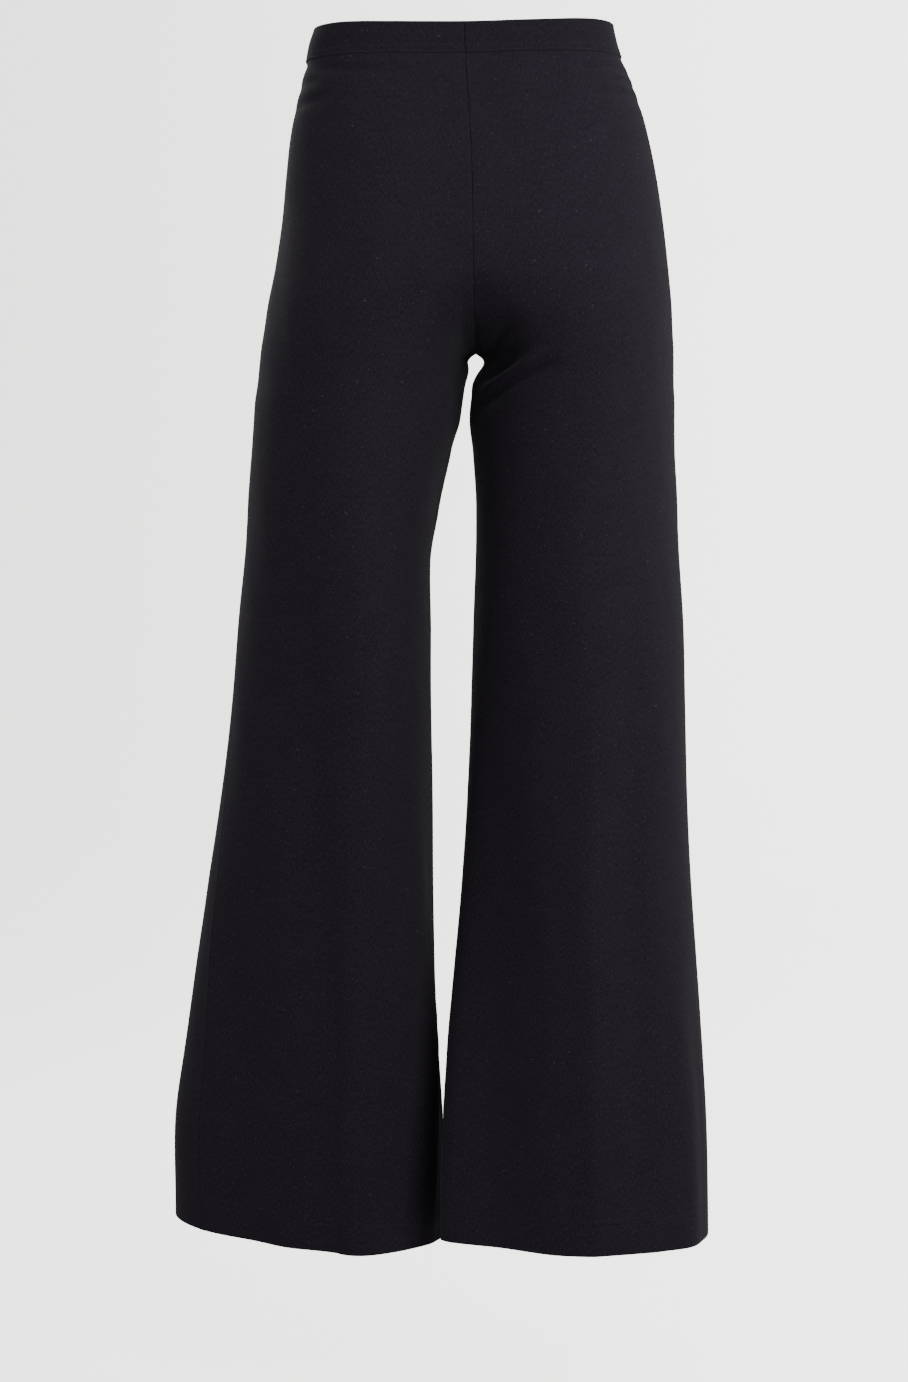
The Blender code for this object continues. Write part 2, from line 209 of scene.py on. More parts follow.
# The largest folds, as the frame has them. Each runs from turn_top to turn_end between two
# heights and fades at its ends. half_width is in turns and height in millimetres, out (+) or in.
FOLD_COLUMNS = ("leg", "turn_top", "turn_end", "drop_top", "drop_end", "fade",
                "half_width", "height")
FOLDS = (
    ("right", 0.80, 0.77, 640, 1100, 330, 0.15, -11.0),
    ("right", 0.93, 0.93, 700, 1100, 300, 0.07, 2.5),
    ("right", 0.22, 0.20, 820, 1100, 200, 0.10, 4.5),
    ("right", 0.40, 0.42, 560, 1100, 300, 0.13, -2.5),
    ("right", -0.28, -0.24, 620, 1100, 300, 0.13, 5.0),
    ("right", -0.52, -0.50, 520, 1100, 320, 0.12, -7.0),
    ("right", -0.80, -0.78, 700, 1100, 300, 0.12, -8.0),
    ("left", 0.10, 0.12, 760, 1100, 260, 0.10, -4.5),
    ("left", 0.31, 0.30, 480, 1100, 260, 0.12, -4.0),
    ("left", 0.83, 0.81, 700, 1100, 300, 0.12, -6.0),
    ("left", -0.23, -0.25, 600, 1100, 300, 0.13, -6.5),
    ("left", -0.48, -0.47, 520, 1100, 300, 0.12, 5.0),
    ("left", -0.77, -0.75, 640, 1100, 320, 0.14, -9.0),
    ("right", 0.80, 0.86, 236, 262, 20, 0.09, -4.0),
)

# The tilt of the waist, its dip at the centre back and the rise of its upper edge at the sides,
# the sag of the cloth between the legs, and the tilt of each hem.
WAIST_SLOPE = -0.014
WAIST_DIP = 1.6
WAIST_DIP_WIDTH = 55.0
WAIST_FADE = 190.0
WAIST_CORNER_RISE = 1.3
WAIST_CORNER = (60.0, 110.0)
CROTCH_SAG = 5.0
CROTCH_SAG_CENTRE = (-13.0, 256.0)
CROTCH_SAG_REACH = (13.0, 16.0)
HEM_TILT_COLUMNS = ("lift", "rise_out", "rise_front")
HEM_TILT = {"left": (-3.3, 7.0, 11.8), "right": (0.0, 1.5, 0.0)}

# Small creases: soft troughs (-) and ridges (+) from one place on a leg to another. bow lifts the
# middle of the line, above and below are its half widths on either side, and all four are in
# millimetres.
CREASE_COLUMNS = ("leg", "turn_from", "drop_from", "turn_to", "drop_to", "bow",
                  "above", "below", "height")
CREASES = (
    # drag lines at the hips, under the band
    ("left", -0.24, 15, 0.24, 17, 0.0, 2.5, 4.5, -0.5),
    ("left", 0.03, 15, 0.86, 27, -3.0, 3.0, 6.0, -1.8),
    ("left", 0.00, 35, 0.28, 33, 1.0, 3.5, 5.0, -1.8),
    ("left", 0.03, 54, 0.40, 46, 1.0, 4.0, 6.0, -2.0),
    ("left", -0.10, 18, -0.62, 30, 2.0, 4.0, 7.0, -1.0),
    ("left", -0.06, 48, -0.36, 44, 0.0, 5.0, 7.0, -0.7),
    ("right", -0.24, 16, 0.24, 17, 0.0, 2.5, 4.5, -0.4),
    ("right", 0.03, 28, 0.54, 27, 4.0, 3.0, 4.5, -2.3),
    ("right", 0.01, 39, 0.36, 36, 3.0, 3.0, 4.5, -2.0),
    ("right", 0.02, 51, 0.46, 47, 4.0, 3.5, 6.0, -2.1),
    ("right", -0.08, 20, -0.56, 33, 2.0, 4.0, 7.0, -1.1),
    ("right", -0.05, 41, -0.40, 47, 1.0, 5.0, 7.0, -0.7),
    # folds that run up from the inner thigh of the right leg
    ("right", 0.90, 299, 0.64, 259, 2.0, 4.5, 4.5, 4.2),
    ("right", 0.92, 309, 0.58, 266, 3.0, 4.5, 7.0, -5.0),
    ("right", 0.93, 287, 0.70, 256, 1.0, 6.0, 4.5, -4.4),
    ("right", 0.920, 316, 0.74, 294, 2.0, 7.0, 10.0, -1.2),
    ("right", 1.0, 196, 0.955, 262, 0.0, 5.0, 9.0, -3.2),
    ("left", 0.90, 286, 0.74, 262, 1.0, 6.0, 9.0, -1.1),
    ("left", 0.985, 214, 0.94, 246, -1.0, 5.0, 6.0, -0.9),
    # the right side, and the ridge of the pressed allowance along the left side seam
    ("right", 0.0, 4, 0.0, 560, 0.0, 26.0, 26.0, 1.1),
    ("left", 0.0, 640, 0.0, 1120, 0.0, 3.0, 3.0, 0.8),
    # the left leg's crest, and the edge along which it turns in
    ("left", 0.50, 300, 0.40, 1120, 0.0, 34.0, 32.0, 7.5),
    ("left", 0.84, 700, 0.655, 1040, 0.0, 14.0, 5.0, 3.6),
    # soft lengths of cloth down the right leg
    ("right", 0.52, 380, 0.55, 1060, 0.0, 26.0, 22.0, 3.0),
    ("right", 0.36, 420, 0.38, 1060, 0.0, 16.0, 18.0, -2.0),
    # folds at the front of the crotch, which fan out from the centre seam
    ("left", -0.95, 236, -0.66, 208, 3.0, 5.0, 9.0, -1.8),
    ("left", -0.92, 262, -0.60, 246, 3.0, 6.0, 9.0, -2.0),
    ("left", -0.90, 292, -0.66, 284, 2.0, 7.0, 10.0, -1.4),
    ("right", -0.95, 230, -0.70, 206, 3.0, 5.0, 8.0, -1.6),
    ("right", -0.92, 258, -0.56, 238, 4.0, 6.0, 10.0, -2.2),
    ("right", -0.90, 290, -0.68, 276, 2.0, 7.0, 10.0, -1.5),
)

# Swells along a leg's inner edge, the same on its back and its front: a leg, two heights, a half
# width and a height.
SWELLS = (
    # the fullness of both thighs beside the crotch
    ("left", 262, 335, 14.0, 3.2),
    ("left", 254, 278, 10.0, 2.4),
    ("left", 325, 430, 14.0, 2.2),
    ("right", 256, 335, 16.0, 2.0),
    ("right", 268, 292, 9.0, 1.4),
    # the right leg's inner edge, which swings across the left one at the hem
    ("right", 900, 1250, 22.0, 5.0),
)
CREASES += tuple((leg, turn, drop_from, turn, drop_to, 0.0, half_width, half_width, height)
                 for leg, drop_from, drop_to, half_width, height in SWELLS
                 for turn in FACES.values())

# Dents in the waistband, in the same columns.
BAND_DENTS = (
    ("left", 0.935, 3.5, 1.0, 3.0, 0.5, 2.2, 2.8, -0.45),
    ("left", 0.885, 11.0, 0.930, 10.6, 0.0, 1.2, 2.2, -0.55),
    ("right", 0.915, 9.8, 0.965, 9.4, 0.0, 1.2, 2.2, -0.60),
    ("right", 0.978, 4.0, 0.990, 4.0, 0.0, 1.2, 1.2, -0.45),
    ("left", 0.20, 4.0, 0.52, 2.0, 0.0, 5.0, 5.0, -0.30),
    ("right", 0.30, 3.0, 0.62, 5.0, 0.0, 5.0, 5.0, -0.30),
    ("left", -0.30, 3.0, -0.70, 5.0, 0.0, 5.0, 5.0, -0.30),
    ("right", -0.20, 4.0, -0.60, 2.0, 0.0, 5.0, 5.0, -0.35),
)

# Slow ripples through the whole cloth, as plane waves: wavelengths in millimetres across, from
# front to back and along the height, a height in millimetres and a phase.
RIPPLES = (
    (140.0, 210.0, 520.0, 0.40, 0.4),
    (-95.0, 150.0, 390.0, 0.28, 1.9),
    (70.0, -120.0, 300.0, 0.18, 3.1),
    (-52.0, 64.0, 170.0, 0.12, 5.0),
    (33.0, 47.0, -95.0, 0.06, 2.2),
)

# Rows of stitches, as drops: two on the waistband, and two on each hem from its lower edge up.
BAND_STITCH_DROPS = (5.5, 10.5)
HEM_STITCH_RISES = (25.0, 31.0)


# ---- Settings ----

def length_setting(name, description, millimetres):
    """A length, with its usual value in millimetres."""
    return bpy.props.FloatProperty(name=name, description=description, unit="LENGTH",
                                   default=millimetres * MM, precision=5)


def colour_setting(name, description, red, green, blue):
    """A colour, with its usual value as linear light."""
    return bpy.props.FloatVectorProperty(name=name, description=description, subtype="COLOR",
                                         size=4, min=0, max=1, default=(red, green, blue, 1))


def light_setting(name, description, usual):
    """A light's strength or its power in watts."""
    return bpy.props.FloatProperty(name=name, description=description, min=0, default=usual)


class PantsSizes(bpy.types.PropertyGroup):
    """Sizes and colours of the garment."""

    cloth: length_setting("Cloth", "Thickness of the knit", 1.1)
    hem_turn_up: length_setting("Hem turn-up", "How far the hem is turned up inside", 32)
    hem_fold: length_setting("Hem fold", "Radius of the fold at the hem's lower edge", 1.25)
    seam_gap: length_setting("Seam gap", "Distance between two panels at a seam", 0.07)
    seam_roll: length_setting(
        "Seam roll", "Radius by which a panel's edge rolls into its seam", 0.42)
    seam_pucker: length_setting(
        "Seam pucker", "How much the stitches pull the cloth along a seam", 0.12)
    allowance: length_setting("Seam allowance", "Width of the overlocked allowances inside", 9)
    thread: length_setting("Thread", "Diameter of the sewing thread", 0.42)
    band_stitch: length_setting("Band stitch", "Length of a stitch on the waistband", 2.1)
    hem_stitch: length_setting("Hem stitch", "Length of a stitch on the hems", 2.8)
    cloth_colour: colour_setting("Cloth colour", "The knit's own colour", 0.0134, 0.0103, 0.0166)
    fibre_colour: colour_setting(
        "Fibre colour", "The paler fibres that make the knit look heathered",
        0.049, 0.039, 0.060)
    thread_colour: colour_setting(
        "Thread colour", "The sewing thread's colour",
        0.060, 0.053, 0.068)
    lint_colour: colour_setting("Lint colour", "The specks of lint on the knit", 0.22, 0.21, 0.22)
    sheen: bpy.props.FloatProperty(
        name="Sheen", description="The pale bloom of the knit's fibres seen along its surface",
        default=0.09, min=0, max=1, subtype="FACTOR")


class StudioSettings(bpy.types.PropertyGroup):
    """The studio around the garment."""

    floor: length_setting("Floor", "Height of the floor", -1160)
    paper: colour_setting("Paper", "Colour of the floor and backdrop", 0.80, 0.785, 0.77)
    glow: light_setting("Backdrop light", "Strength of the light on the paper alone", 4.5)
    sky: light_setting("Room light", "Strength of the even light from all sides", 0.30)
    key: light_setting("Key light", "Power of the large soft light, in watts", 19.5)
    top: light_setting("Top light", "Power of the soft light overhead, in watts", 12)
    side: light_setting("Side light", "Power of the soft light from the right, in watts", 3.2)
    fill: light_setting("Fill light", "Power of the soft light from the left, in watts", 3.6)
    front: light_setting("Front light", "Power of the soft light before the garment, in watts", 10)


# ---- Shapes ----

def table_column(columns, rows, name, drop):
    """One column of a table at any height: cubic curves through its rows, whose slope at each
    row is that of its neighbours."""
    knots = np.array([row[0] for row in rows], float)
    values = np.array([row[columns.index(name)] for row in rows], float)
    slopes = np.gradient(values, knots)
    drop = np.clip(np.asarray(drop, float), knots[0], knots[-1])
    low = np.clip(np.searchsorted(knots, drop) - 1, 0, len(knots) - 2)
    span = knots[low + 1] - knots[low]
    t = (drop - knots[low]) / span
    start = (1 + 2 * t) * (1 - t) ** 2 * values[low] + t * (1 - t) ** 2 * span * slopes[low]
    end = t ** 2 * (3 - 2 * t) * values[low + 1] + t ** 2 * (t - 1) * span * slopes[low + 1]
    return start + end


def outline(name, drop):
    """A size of the outline at a height."""
    return table_column(OUTLINE_COLUMNS, OUTLINE, name, drop)


def hang(name, drop):
    """A size of the hang at a height."""
    return table_column(HANG_COLUMNS, HANG, name, drop)


def smooth_step(t):
    """0 below 0, 1 above 1, and 3t^2 - 2t^3 between."""
    t = np.clip(t, 0, 1)
    return t * t * (3 - 2 * t)


def power(value, exponent):
    """A power that keeps the sign."""
    return np.sign(value) * np.abs(value) ** exponent


def unit(vectors):
    """Vectors made 1 long."""
    return vectors / np.maximum(np.linalg.norm(vectors, axis=-1, keepdims=True), 1e-9)


def run_length(points):
    """How far along its line each point lies. Lines run along the last axis but one."""
    steps = np.linalg.norm(np.diff(points, axis=-2), axis=-1)
    return np.concatenate([0 * steps[..., :1], np.cumsum(steps, axis=-1)], axis=-1)


def leg_twist(leg, drop):
    """How far the seams turn around a leg, in radians."""
    return np.radians(hang("left_twist", drop)) if leg == "left" else 0.0


def ring_point(leg, turn, drop):
    """The outer surface before its folds.

    Each leg is a ring of four unlike quarters, (cos a)^(2/n) across and (sin a)^(2/n) along, the
    second with no exponent above 1. Above the crotch it is cut at the centre plane, where
    x = sqrt(ring^2 - bridge^2) joins it to the other leg.
    """
    side = SIDES[leg]
    turn, drop = np.broadcast_arrays(np.asarray(turn, float), np.asarray(drop, float))
    centre = outline("centre", drop)
    bridge = outline("bridge", drop)
    outer = np.hypot(outline(leg + "_out", drop) - centre, bridge)
    inner = side * (outline(leg + "_in", drop) - centre)
    middle = (outer + inner) / 2
    half = (outer - inner) / 2
    outer_square = hang("outer_square", drop)
    inner_square = hang(leg + "_inner_square", drop)

    reach = np.clip((middle - bridge) / half, 0, 1) ** (inner_square / 2)
    cut_off = np.where(drop >= CROTCH_DROP, 0.0, np.arccos(reach))
    crowding = np.clip(CROWD_SHARE * math.pi / np.maximum(cut_off, 0.1), 1, CROWD_LIMIT)
    spread = np.abs(turn)
    angle = np.sign(turn) * (math.pi * spread - cut_off * spread ** crowding)
    angle = angle + leg_twist(leg, drop)

    across, along = np.cos(angle), np.sin(angle)
    square = np.where(across >= 0, outer_square, inner_square)
    depth = np.where(along >= 0, outline("back", drop), outline("front", drop))
    lean = hang(leg + "_lean", drop) * np.where(along >= 0, 1.0, FRONT_LEAN)
    thigh = outline("bulge", drop) * (0.5 - 0.5 * across) ** BULGE_SHARPNESS
    ring = middle + half * power(across, 2 / square) + lean * along ** 2 - thigh
    x = np.sqrt(np.maximum(ring ** 2 - bridge ** 2, 0))
    y = depth * power(along, np.minimum(2 / square, 1)) + hang(leg + "_swing", drop)
    return np.stack([centre + side * x, y, -drop + 0 * x], axis=-1)


def fold_height(leg, turn, drop):
    """The large folds: cosine ridges across a leg that fade in and out along it."""
    total = np.zeros(np.broadcast(turn, drop).shape)
    for row in FOLDS:
        fold = dict(zip(FOLD_COLUMNS, row))
        if fold["leg"] != leg:
            continue
        t = np.clip((drop - fold["drop_top"]) / (fold["drop_end"] - fold["drop_top"]), 0, 1)
        place = fold["turn_top"] + t * (fold["turn_end"] - fold["turn_top"])
        away = np.clip(np.abs(turn - place) / fold["half_width"], 0, 1)
        rise = smooth_step((drop - fold["drop_top"]) / fold["fade"] + 0.5)
        fall = smooth_step((fold["drop_end"] - drop) / fold["fade"] + 0.5)
        total = total + fold["height"] * rise * fall * (0.5 + 0.5 * np.cos(math.pi * away))
    return total


@functools.lru_cache(maxsize=None)
def width_table(leg, face):
    """A panel's width around the leg at a few heights."""
    knots = np.linspace(OUTLINE[0][0], HEM_DROP, 48)
    turns = np.linspace(0, 1, 61) * FACES[face]
    return knots, run_length(ring_point(leg, turns[None, :], knots[:, None]))[:, -1]


def panel_width(leg, face, drop):
    """A panel's width around the leg at any height."""
    return np.interp(drop, *width_table(leg, face))


def crease_height(creases, leg, turn, drop):
    """The small creases on the flat cloth. With p along the line from its start to its end and q
    across it, the height is exp(-(q / half width)^2) times a soft rise and fall along p."""
    total = np.zeros(np.broadcast(turn, drop).shape)
    for row in creases:
        crease = dict(zip(CREASE_COLUMNS, row))
        if crease["leg"] != leg:
            continue
        face = "back" if crease["turn_from"] + crease["turn_to"] > 0 else "front"
        start = np.array([crease["turn_from"] * panel_width(leg, face, crease["drop_from"]),
                          crease["drop_from"]])
        end = np.array([crease["turn_to"] * panel_width(leg, face, crease["drop_to"]),
                        crease["drop_to"]])
        line = end - start
        length = math.hypot(*line)
        u = turn * panel_width(leg, face, drop) - start[0]
        v = drop - start[1]
        p = (u * line[0] + v * line[1]) / length ** 2
        q = (u * line[1] - v * line[0]) / length * (1 if line[0] > 0 else -1)
        q = q - crease["bow"] * 4 * p * (1 - p)
        half_width = np.where(q > 0, crease["above"], crease["below"])
        taper = smooth_step(p / 0.4 + 0.25) * smooth_step((1 - p) / 0.4 + 0.25)
        total = total + crease["height"] * taper * np.exp(-(q / half_width) ** 2)
    return total


def ripple_height(points):
    """Slow waves through space: the sum of height * cos(2 pi (x/a + y/b + z/c) + phase)."""
    total = 0.0
    for across, depth, down, height, phase in RIPPLES:
        wave = points[..., 0] / across + points[..., 1] / depth + points[..., 2] / down
        total = total + height * np.cos(2 * math.pi * wave + phase)
    return total


def settle(leg, points, turn, drop):
    """Moves points up or down by the tilt, dip and raised corners of the waist, the sag between
    the legs and the tilt of the hem."""
    x = points[..., 0]
    dip = WAIST_DIP * np.exp(-(x / WAIST_DIP_WIDTH) ** 2) * (points[..., 1] > 0)
    waist = (WAIST_SLOPE * x - dip) * (1 - smooth_step(drop / WAIST_FADE))
    corner = smooth_step((np.abs(x) - WAIST_CORNER[0]) / (WAIST_CORNER[1] - WAIST_CORNER[0]))
    corner = WAIST_CORNER_RISE * corner * (1 - smooth_step(0.5 + drop / BAND_HEIGHT))
    away = np.hypot((x - CROTCH_SAG_CENTRE[0]) / CROTCH_SAG_REACH[0],
                    (drop - CROTCH_SAG_CENTRE[1]) / CROTCH_SAG_REACH[1])
    sag = CROTCH_SAG * np.exp(-away ** 2)
    angle = turn * math.pi + leg_twist(leg, drop)
    share = smooth_step((drop - CROTCH_DROP) / (HEM_DROP - CROTCH_DROP)) ** TILT_POWER
    tilt = dict(zip(HEM_TILT_COLUMNS, HEM_TILT[leg]))
    hem = tilt["lift"] + tilt["rise_out"] * np.cos(angle) - tilt["rise_front"] * np.sin(angle)
    settled = points.copy()
    settled[..., 2] += waist + corner - sag + hem * share
    return settled


def band_ease(turn, drop):
    """How far the waistband lies further in than the frame's: all round but at the sides, and
    towards its upper edge at the sides, where it tapers."""
    return (BAND_EASE * smooth_step(np.abs(turn) / 0.5)
            + BAND_TAPER * (1 - smooth_step(np.abs(turn) / 0.3)) * smooth_step((8 - drop) / 20))


def cloth_point(leg, turn, drop, outwards=0.0, creases=CREASES):
    """The outer surface with its folds, creases and ripples, moved out along its normal."""
    turn, drop = np.broadcast_arrays(np.asarray(turn, float), np.asarray(drop, float))
    d_turn, d_drop = 0.004, 1.0
    across = (ring_point(leg, np.clip(turn + d_turn, -1, 1), drop)
              - ring_point(leg, np.clip(turn - d_turn, -1, 1), drop))
    along = ring_point(leg, turn, drop + d_drop) - ring_point(leg, turn, drop - d_drop)
    normal = unit(SIDES[leg] * np.cross(along, across))
    ring = ring_point(leg, turn, drop)
    offset = (outwards + fold_height(leg, turn, drop) + ripple_height(ring)
              + crease_height(creases, leg, turn, drop))
    if creases is BAND_DENTS:
        offset = offset - band_ease(turn, drop)
    return settle(leg, ring + normal * offset[..., None], turn, drop)


def arc_table(leg, face, drops):
    """Distance from the side seam along the ring, on each row. The turns are those of a sine,
    closest at the inner edge, where the ring turns quickest."""
    turns = np.sin(np.linspace(0, math.pi / 2, ARC_SAMPLES)) * FACES[face]
    return turns, run_length(ring_point(leg, turns[None, :], drops[:, None]))


def turn_at(turns, lengths, wanted):
    """The turns at wanted distances from the side seam, row by row: one interpolation over all
    the rows, laid end to end."""
    shift = np.arange(len(lengths))[:, None] * ROW_SHIFT
    found = np.interp((wanted + shift).ravel(), (lengths + shift).ravel(),
                      np.tile(turns, len(lengths)))
    return found.reshape(wanted.shape)


def roll_steps(radius, count=5):
    """A rolled edge as a quarter circle: distances from the edge, and how deep each lies."""
    angle = np.linspace(0, math.pi / 2, count)
    return radius * (1 - np.cos(angle)), radius * (1 - np.sin(angle))


def pucker_height(distance, drop, height, phase):
    """The pull of a seam's stitches: short waves along it that die out beside it."""
    wave = sum(np.cos(2 * math.pi * drop / length + (order + 1) * phase)
               for order, length in enumerate(PUCKER_WAVES)) / len(PUCKER_WAVES)
    return height * (wave - PUCKER_PULL) * np.exp(-(distance / PUCKER_REACH) ** 2)


def panel_rows(cloth, turn_up, fold, roll, top):
    """The rows of a panel as a path down the outer side, round the hem's fold and up inside.

    Each has a drop, a depth below the outer surface, the direction of the cloth's other side in
    (drop, depth), the depth of a rolled end and the distance along the path."""
    near, rolled = roll_steps(roll)
    main = [np.linspace(top + near[-1], UPPER_DROP, UPPER_ROWS),
            np.linspace(UPPER_DROP, HEM_DROP - fold, LOWER_ROWS)]
    main += [HEM_DROP - rise + STITCH_ROWS for rise in HEM_STITCH_RISES]
    turn = np.linspace(0, math.pi, 9)[1:]
    up = np.linspace(HEM_DROP - fold, HEM_DROP - turn_up, 9)[1:]
    raw_edge = np.linspace(0, 1, len(up)) ** 6 * cloth * 0.7
    stretches = ((top + near[:-1], 0, 0, 1, rolled[:-1]),
                 (np.unique(np.round(np.concatenate(main), 2)), 0, 0, 1, 0),
                 (HEM_DROP - fold + fold * np.sin(turn), fold * (1 - np.cos(turn)),
                  -np.sin(turn), np.cos(turn), 0),
                 (up, 2 * fold, 0, -1, raw_edge))
    drop, depth, to_drop, to_depth, rolled = np.concatenate(
        [np.stack(np.broadcast_arrays(*stretch)) for stretch in stretches], axis=1)
    return drop, depth, to_drop, to_depth, rolled, run_length(np.stack([drop, depth], axis=-1))


def stitch_groove(drop, drops, depth, half_width=0.8):
    """The lines that stitches press into the cloth, as exp(-(distance / half width)^2)."""
    return -depth * sum(np.exp(-((drop - at) / half_width) ** 2) for at in drops)


def panel_sheet(leg, face, sizes):
    """A leg panel's outer and inner surface and its flat coordinates, as grids of rows down the
    leg and columns from the side seam to the inner edge."""
    cloth, gap, roll = sizes.cloth / MM, sizes.seam_gap / MM, sizes.seam_roll / MM
    top = BAND_HEIGHT / 2 + gap
    drop, depth, to_drop, to_depth, top_roll, path = panel_rows(
        cloth, sizes.hem_turn_up / MM, sizes.hem_fold / MM, roll, top)
    turns, lengths = arc_table(leg, face, drop)
    width = lengths[:, -1:]
    near, rolled = roll_steps(roll)
    near = near + gap / 2
    middle = np.linspace(0, 1, PANEL_COLUMNS)[None, 1:-1]
    ones = np.ones_like(width)
    across = np.concatenate([near * ones, near[-1] + (width - 2 * near[-1]) * middle,
                             width - near[::-1]], axis=1)
    side_roll = np.concatenate([rolled, np.zeros(PANEL_COLUMNS - 2), rolled[::-1]])
    turn = turn_at(turns, lengths, across)

    column = drop[:, None]
    outer_layer = (depth < sizes.hem_fold / MM)[:, None]
    pucker = sizes.seam_pucker / MM
    waist_phase = 1.0 + LEGS.index(leg) + 2 * (face == "front")
    lift = (pucker_height(across, column, pucker, SIDE_SEAM_PHASE[leg])
            + pucker_height(width - across, column, pucker, INNER_SEAM_PHASE)
            + pucker_height(column - top, across, pucker, waist_phase))
    hem_rows = [HEM_DROP - rise for rise in HEM_STITCH_RISES]
    above_hem = smooth_step((HEM_DROP - sizes.hem_turn_up / MM - column) / 12)
    lift = lift * above_hem + stitch_groove(column, hem_rows, HEM_GROOVE) * outer_layer

    edge = np.minimum(np.hypot(top_roll[:, None], side_roll[None, :]), 0.9 * cloth)
    walls = []
    for way in (edge, cloth * np.ones_like(edge)):
        walls.append(cloth_point(leg, turn, column + to_drop[:, None] * way,
                                 lift - depth[:, None] - to_depth[:, None] * way))
    along = across * FACES[face] + CLOTH_SHIFT * LEGS.index(leg)
    flat = np.stack([along, path[:, None] + 0 * across], axis=-1)
    return walls[0], walls[1], flat


def band_section():
    """The waistband's cross-section as a closed loop of drops and distances outwards: a doubled
    strip with a round fold on top, a slight swell between its stitches and rounded lower edges."""
    bottom, fold, corner = BAND_HEIGHT / 2, BAND_THICKNESS / 2, BAND_CORNER
    top = bottom + BAND_RISE
    outer, inner = BAND_STEP, BAND_STEP - BAND_THICKNESS
    fine = BAND_STITCH_DROPS[0] + 1.5, BAND_STITCH_DROPS[0] - 1.5
    side = np.concatenate([np.linspace(bottom - corner, fine[0], 16)[:-1],
                           np.linspace(*fine, 8)[:-1],
                           np.linspace(fine[1], -top + fold, 16)])
    turn = np.linspace(0, math.pi, 13)[1:-1]
    quarter = np.linspace(0, math.pi / 2, 4)
    share = np.clip((side - SWELL_DROP) / SWELL_WIDTH, -0.5, 0.5)
    swell = SWELL_HEIGHT * np.cos(math.pi * share) ** 2
    groove = stitch_groove(side, BAND_STITCH_DROPS, BAND_GROOVE, 0.7)
    drops = np.concatenate([side, -top + fold - fold * np.sin(turn), side[::-1],
                            bottom - corner + corner * np.sin(quarter[1:]),
                            bottom - corner + corner * np.cos(quarter[:-1])])
    outwards = np.concatenate([outer + swell + groove, outer - fold + fold * np.cos(turn),
                               (inner - 0.3 * swell - 0.5 * groove)[::-1],
                               inner + corner - corner * np.cos(quarter[1:]),
                               outer - corner + corner * np.sin(quarter[:-1])])
    return drops, outwards


def band_sheet():
    """The waistband: its section carried around both legs' rings, with its own seam as a groove
    at the centre back."""
    drops, outwards = band_section()
    column = drops[:, None]
    half = BAND_THICKNESS / 2
    on_outside = np.clip((outwards[:, None] - BAND_STEP + half) / half, -1, 1)
    parts, flats, run = [], [], 0.0
    for leg, face, order in (("left", "back", -1), ("left", "front", 1),
                             ("right", "front", -1), ("right", "back", 1)):
        turns, lengths = arc_table(leg, face, drops)
        width = lengths[:, -1:]
        share = np.linspace(0, 1, BAND_COLUMNS // 2)[None, :]
        across, seam = share * width, 0.0
        if face == "back":
            across = share * (width - BAND_SEAM_COLUMNS[-1])
            across = np.concatenate([across[:, :-1], width - BAND_SEAM_COLUMNS[::-1]], axis=1)
            seam = pucker_height(width - across, column, BAND_SEAM_PUCKER, BAND_SEAM_PHASE)
            seam -= BAND_SEAM_DEPTH * np.exp(-((width - across) / BAND_SEAM_REACH) ** 2)
        ripple = BAND_RIPPLE * np.cos(2 * math.pi * across / BAND_RIPPLE_LENGTH)
        ripple = ripple * stitch_groove(column, BAND_STITCH_DROPS, 1.0, 2.0)
        points = cloth_point(leg, turn_at(turns, lengths, across), column,
                             outwards[:, None] + on_outside * seam + ripple, BAND_DENTS)
        flat_u = across[:, ::order] * order
        flat_u = flat_u - flat_u[:, :1] + run
        run = flat_u[:, -1:].mean()
        parts.append(points[:, ::order][:, :-1])
        flats.append(np.stack([flat_u, column + 0 * flat_u], axis=-1)[:, :-1])
    return np.concatenate(parts, axis=1), np.concatenate(flats, axis=1)


def oval_section(count=20):
    """A flat oval, as two arrays from -1 to 1."""
    angle = np.linspace(0, 2 * math.pi, count, endpoint=False)
    return power(np.cos(angle), 0.5), power(np.sin(angle), 0.6)


def allowance_strip(leg, edge, drop_top, drop_end, sizes):
    """An overlocked seam allowance, pressed to one side of its seam inside the garment: a flat
    oval section carried down the seam, which thins out where it goes under the hem's turn-up.
    edge is 0 for the side seam, 1 for the inner one at the back and -1 at the front."""
    cloth, half = sizes.cloth / MM, sizes.allowance / MM / 2
    fine = np.linspace(drop_top, drop_end, 3000)
    run = run_length(ring_point(leg, edge, fine))
    drops = np.interp(np.linspace(0, run[-1], int(run[-1] / ALLOWANCE_STEP) + 2), run, fine)
    wide, deep = oval_section()
    section = half * (1 + wide) - ALLOWANCE_PAST_SEAM
    turns, lengths = arc_table(leg, "front" if edge < 0 else "back", drops)
    width = lengths[:, -1:]

    tucked = smooth_step((drops - (HEM_DROP - sizes.hem_turn_up / MM - 8)) / 7)[:, None]
    wave = 1 + np.sin(2 * math.pi * drops / ALLOWANCE_WAVE_LENGTH)[:, None]
    hanging = cloth + ALLOWANCE_CLEARANCE + ALLOWANCE_WAVE * wave + cloth * (1 + deep)
    flat_in = cloth + TUCKED_CLEARANCE + TUCKED_HALF_DEPTH * deep
    depth = (1 - tucked) * hanging + tucked * flat_in

    def along_seam(distance):
        """Points inside the panel at distances from its seam."""
        where = distance if edge == 0 else width - distance
        turn = turn_at(turns, lengths, where + 0 * depth)
        return cloth_point(leg, turn, drops[:, None], -depth)

    away = unit(along_seam(2.0) - along_seam(0.0))
    points = along_seam(np.maximum(section, 0)) + away * np.minimum(section, 0)[None, :, None]
    flat = np.stack(np.broadcast_arrays(section[None, :], drops[:, None]), axis=-1)
    return points, flat


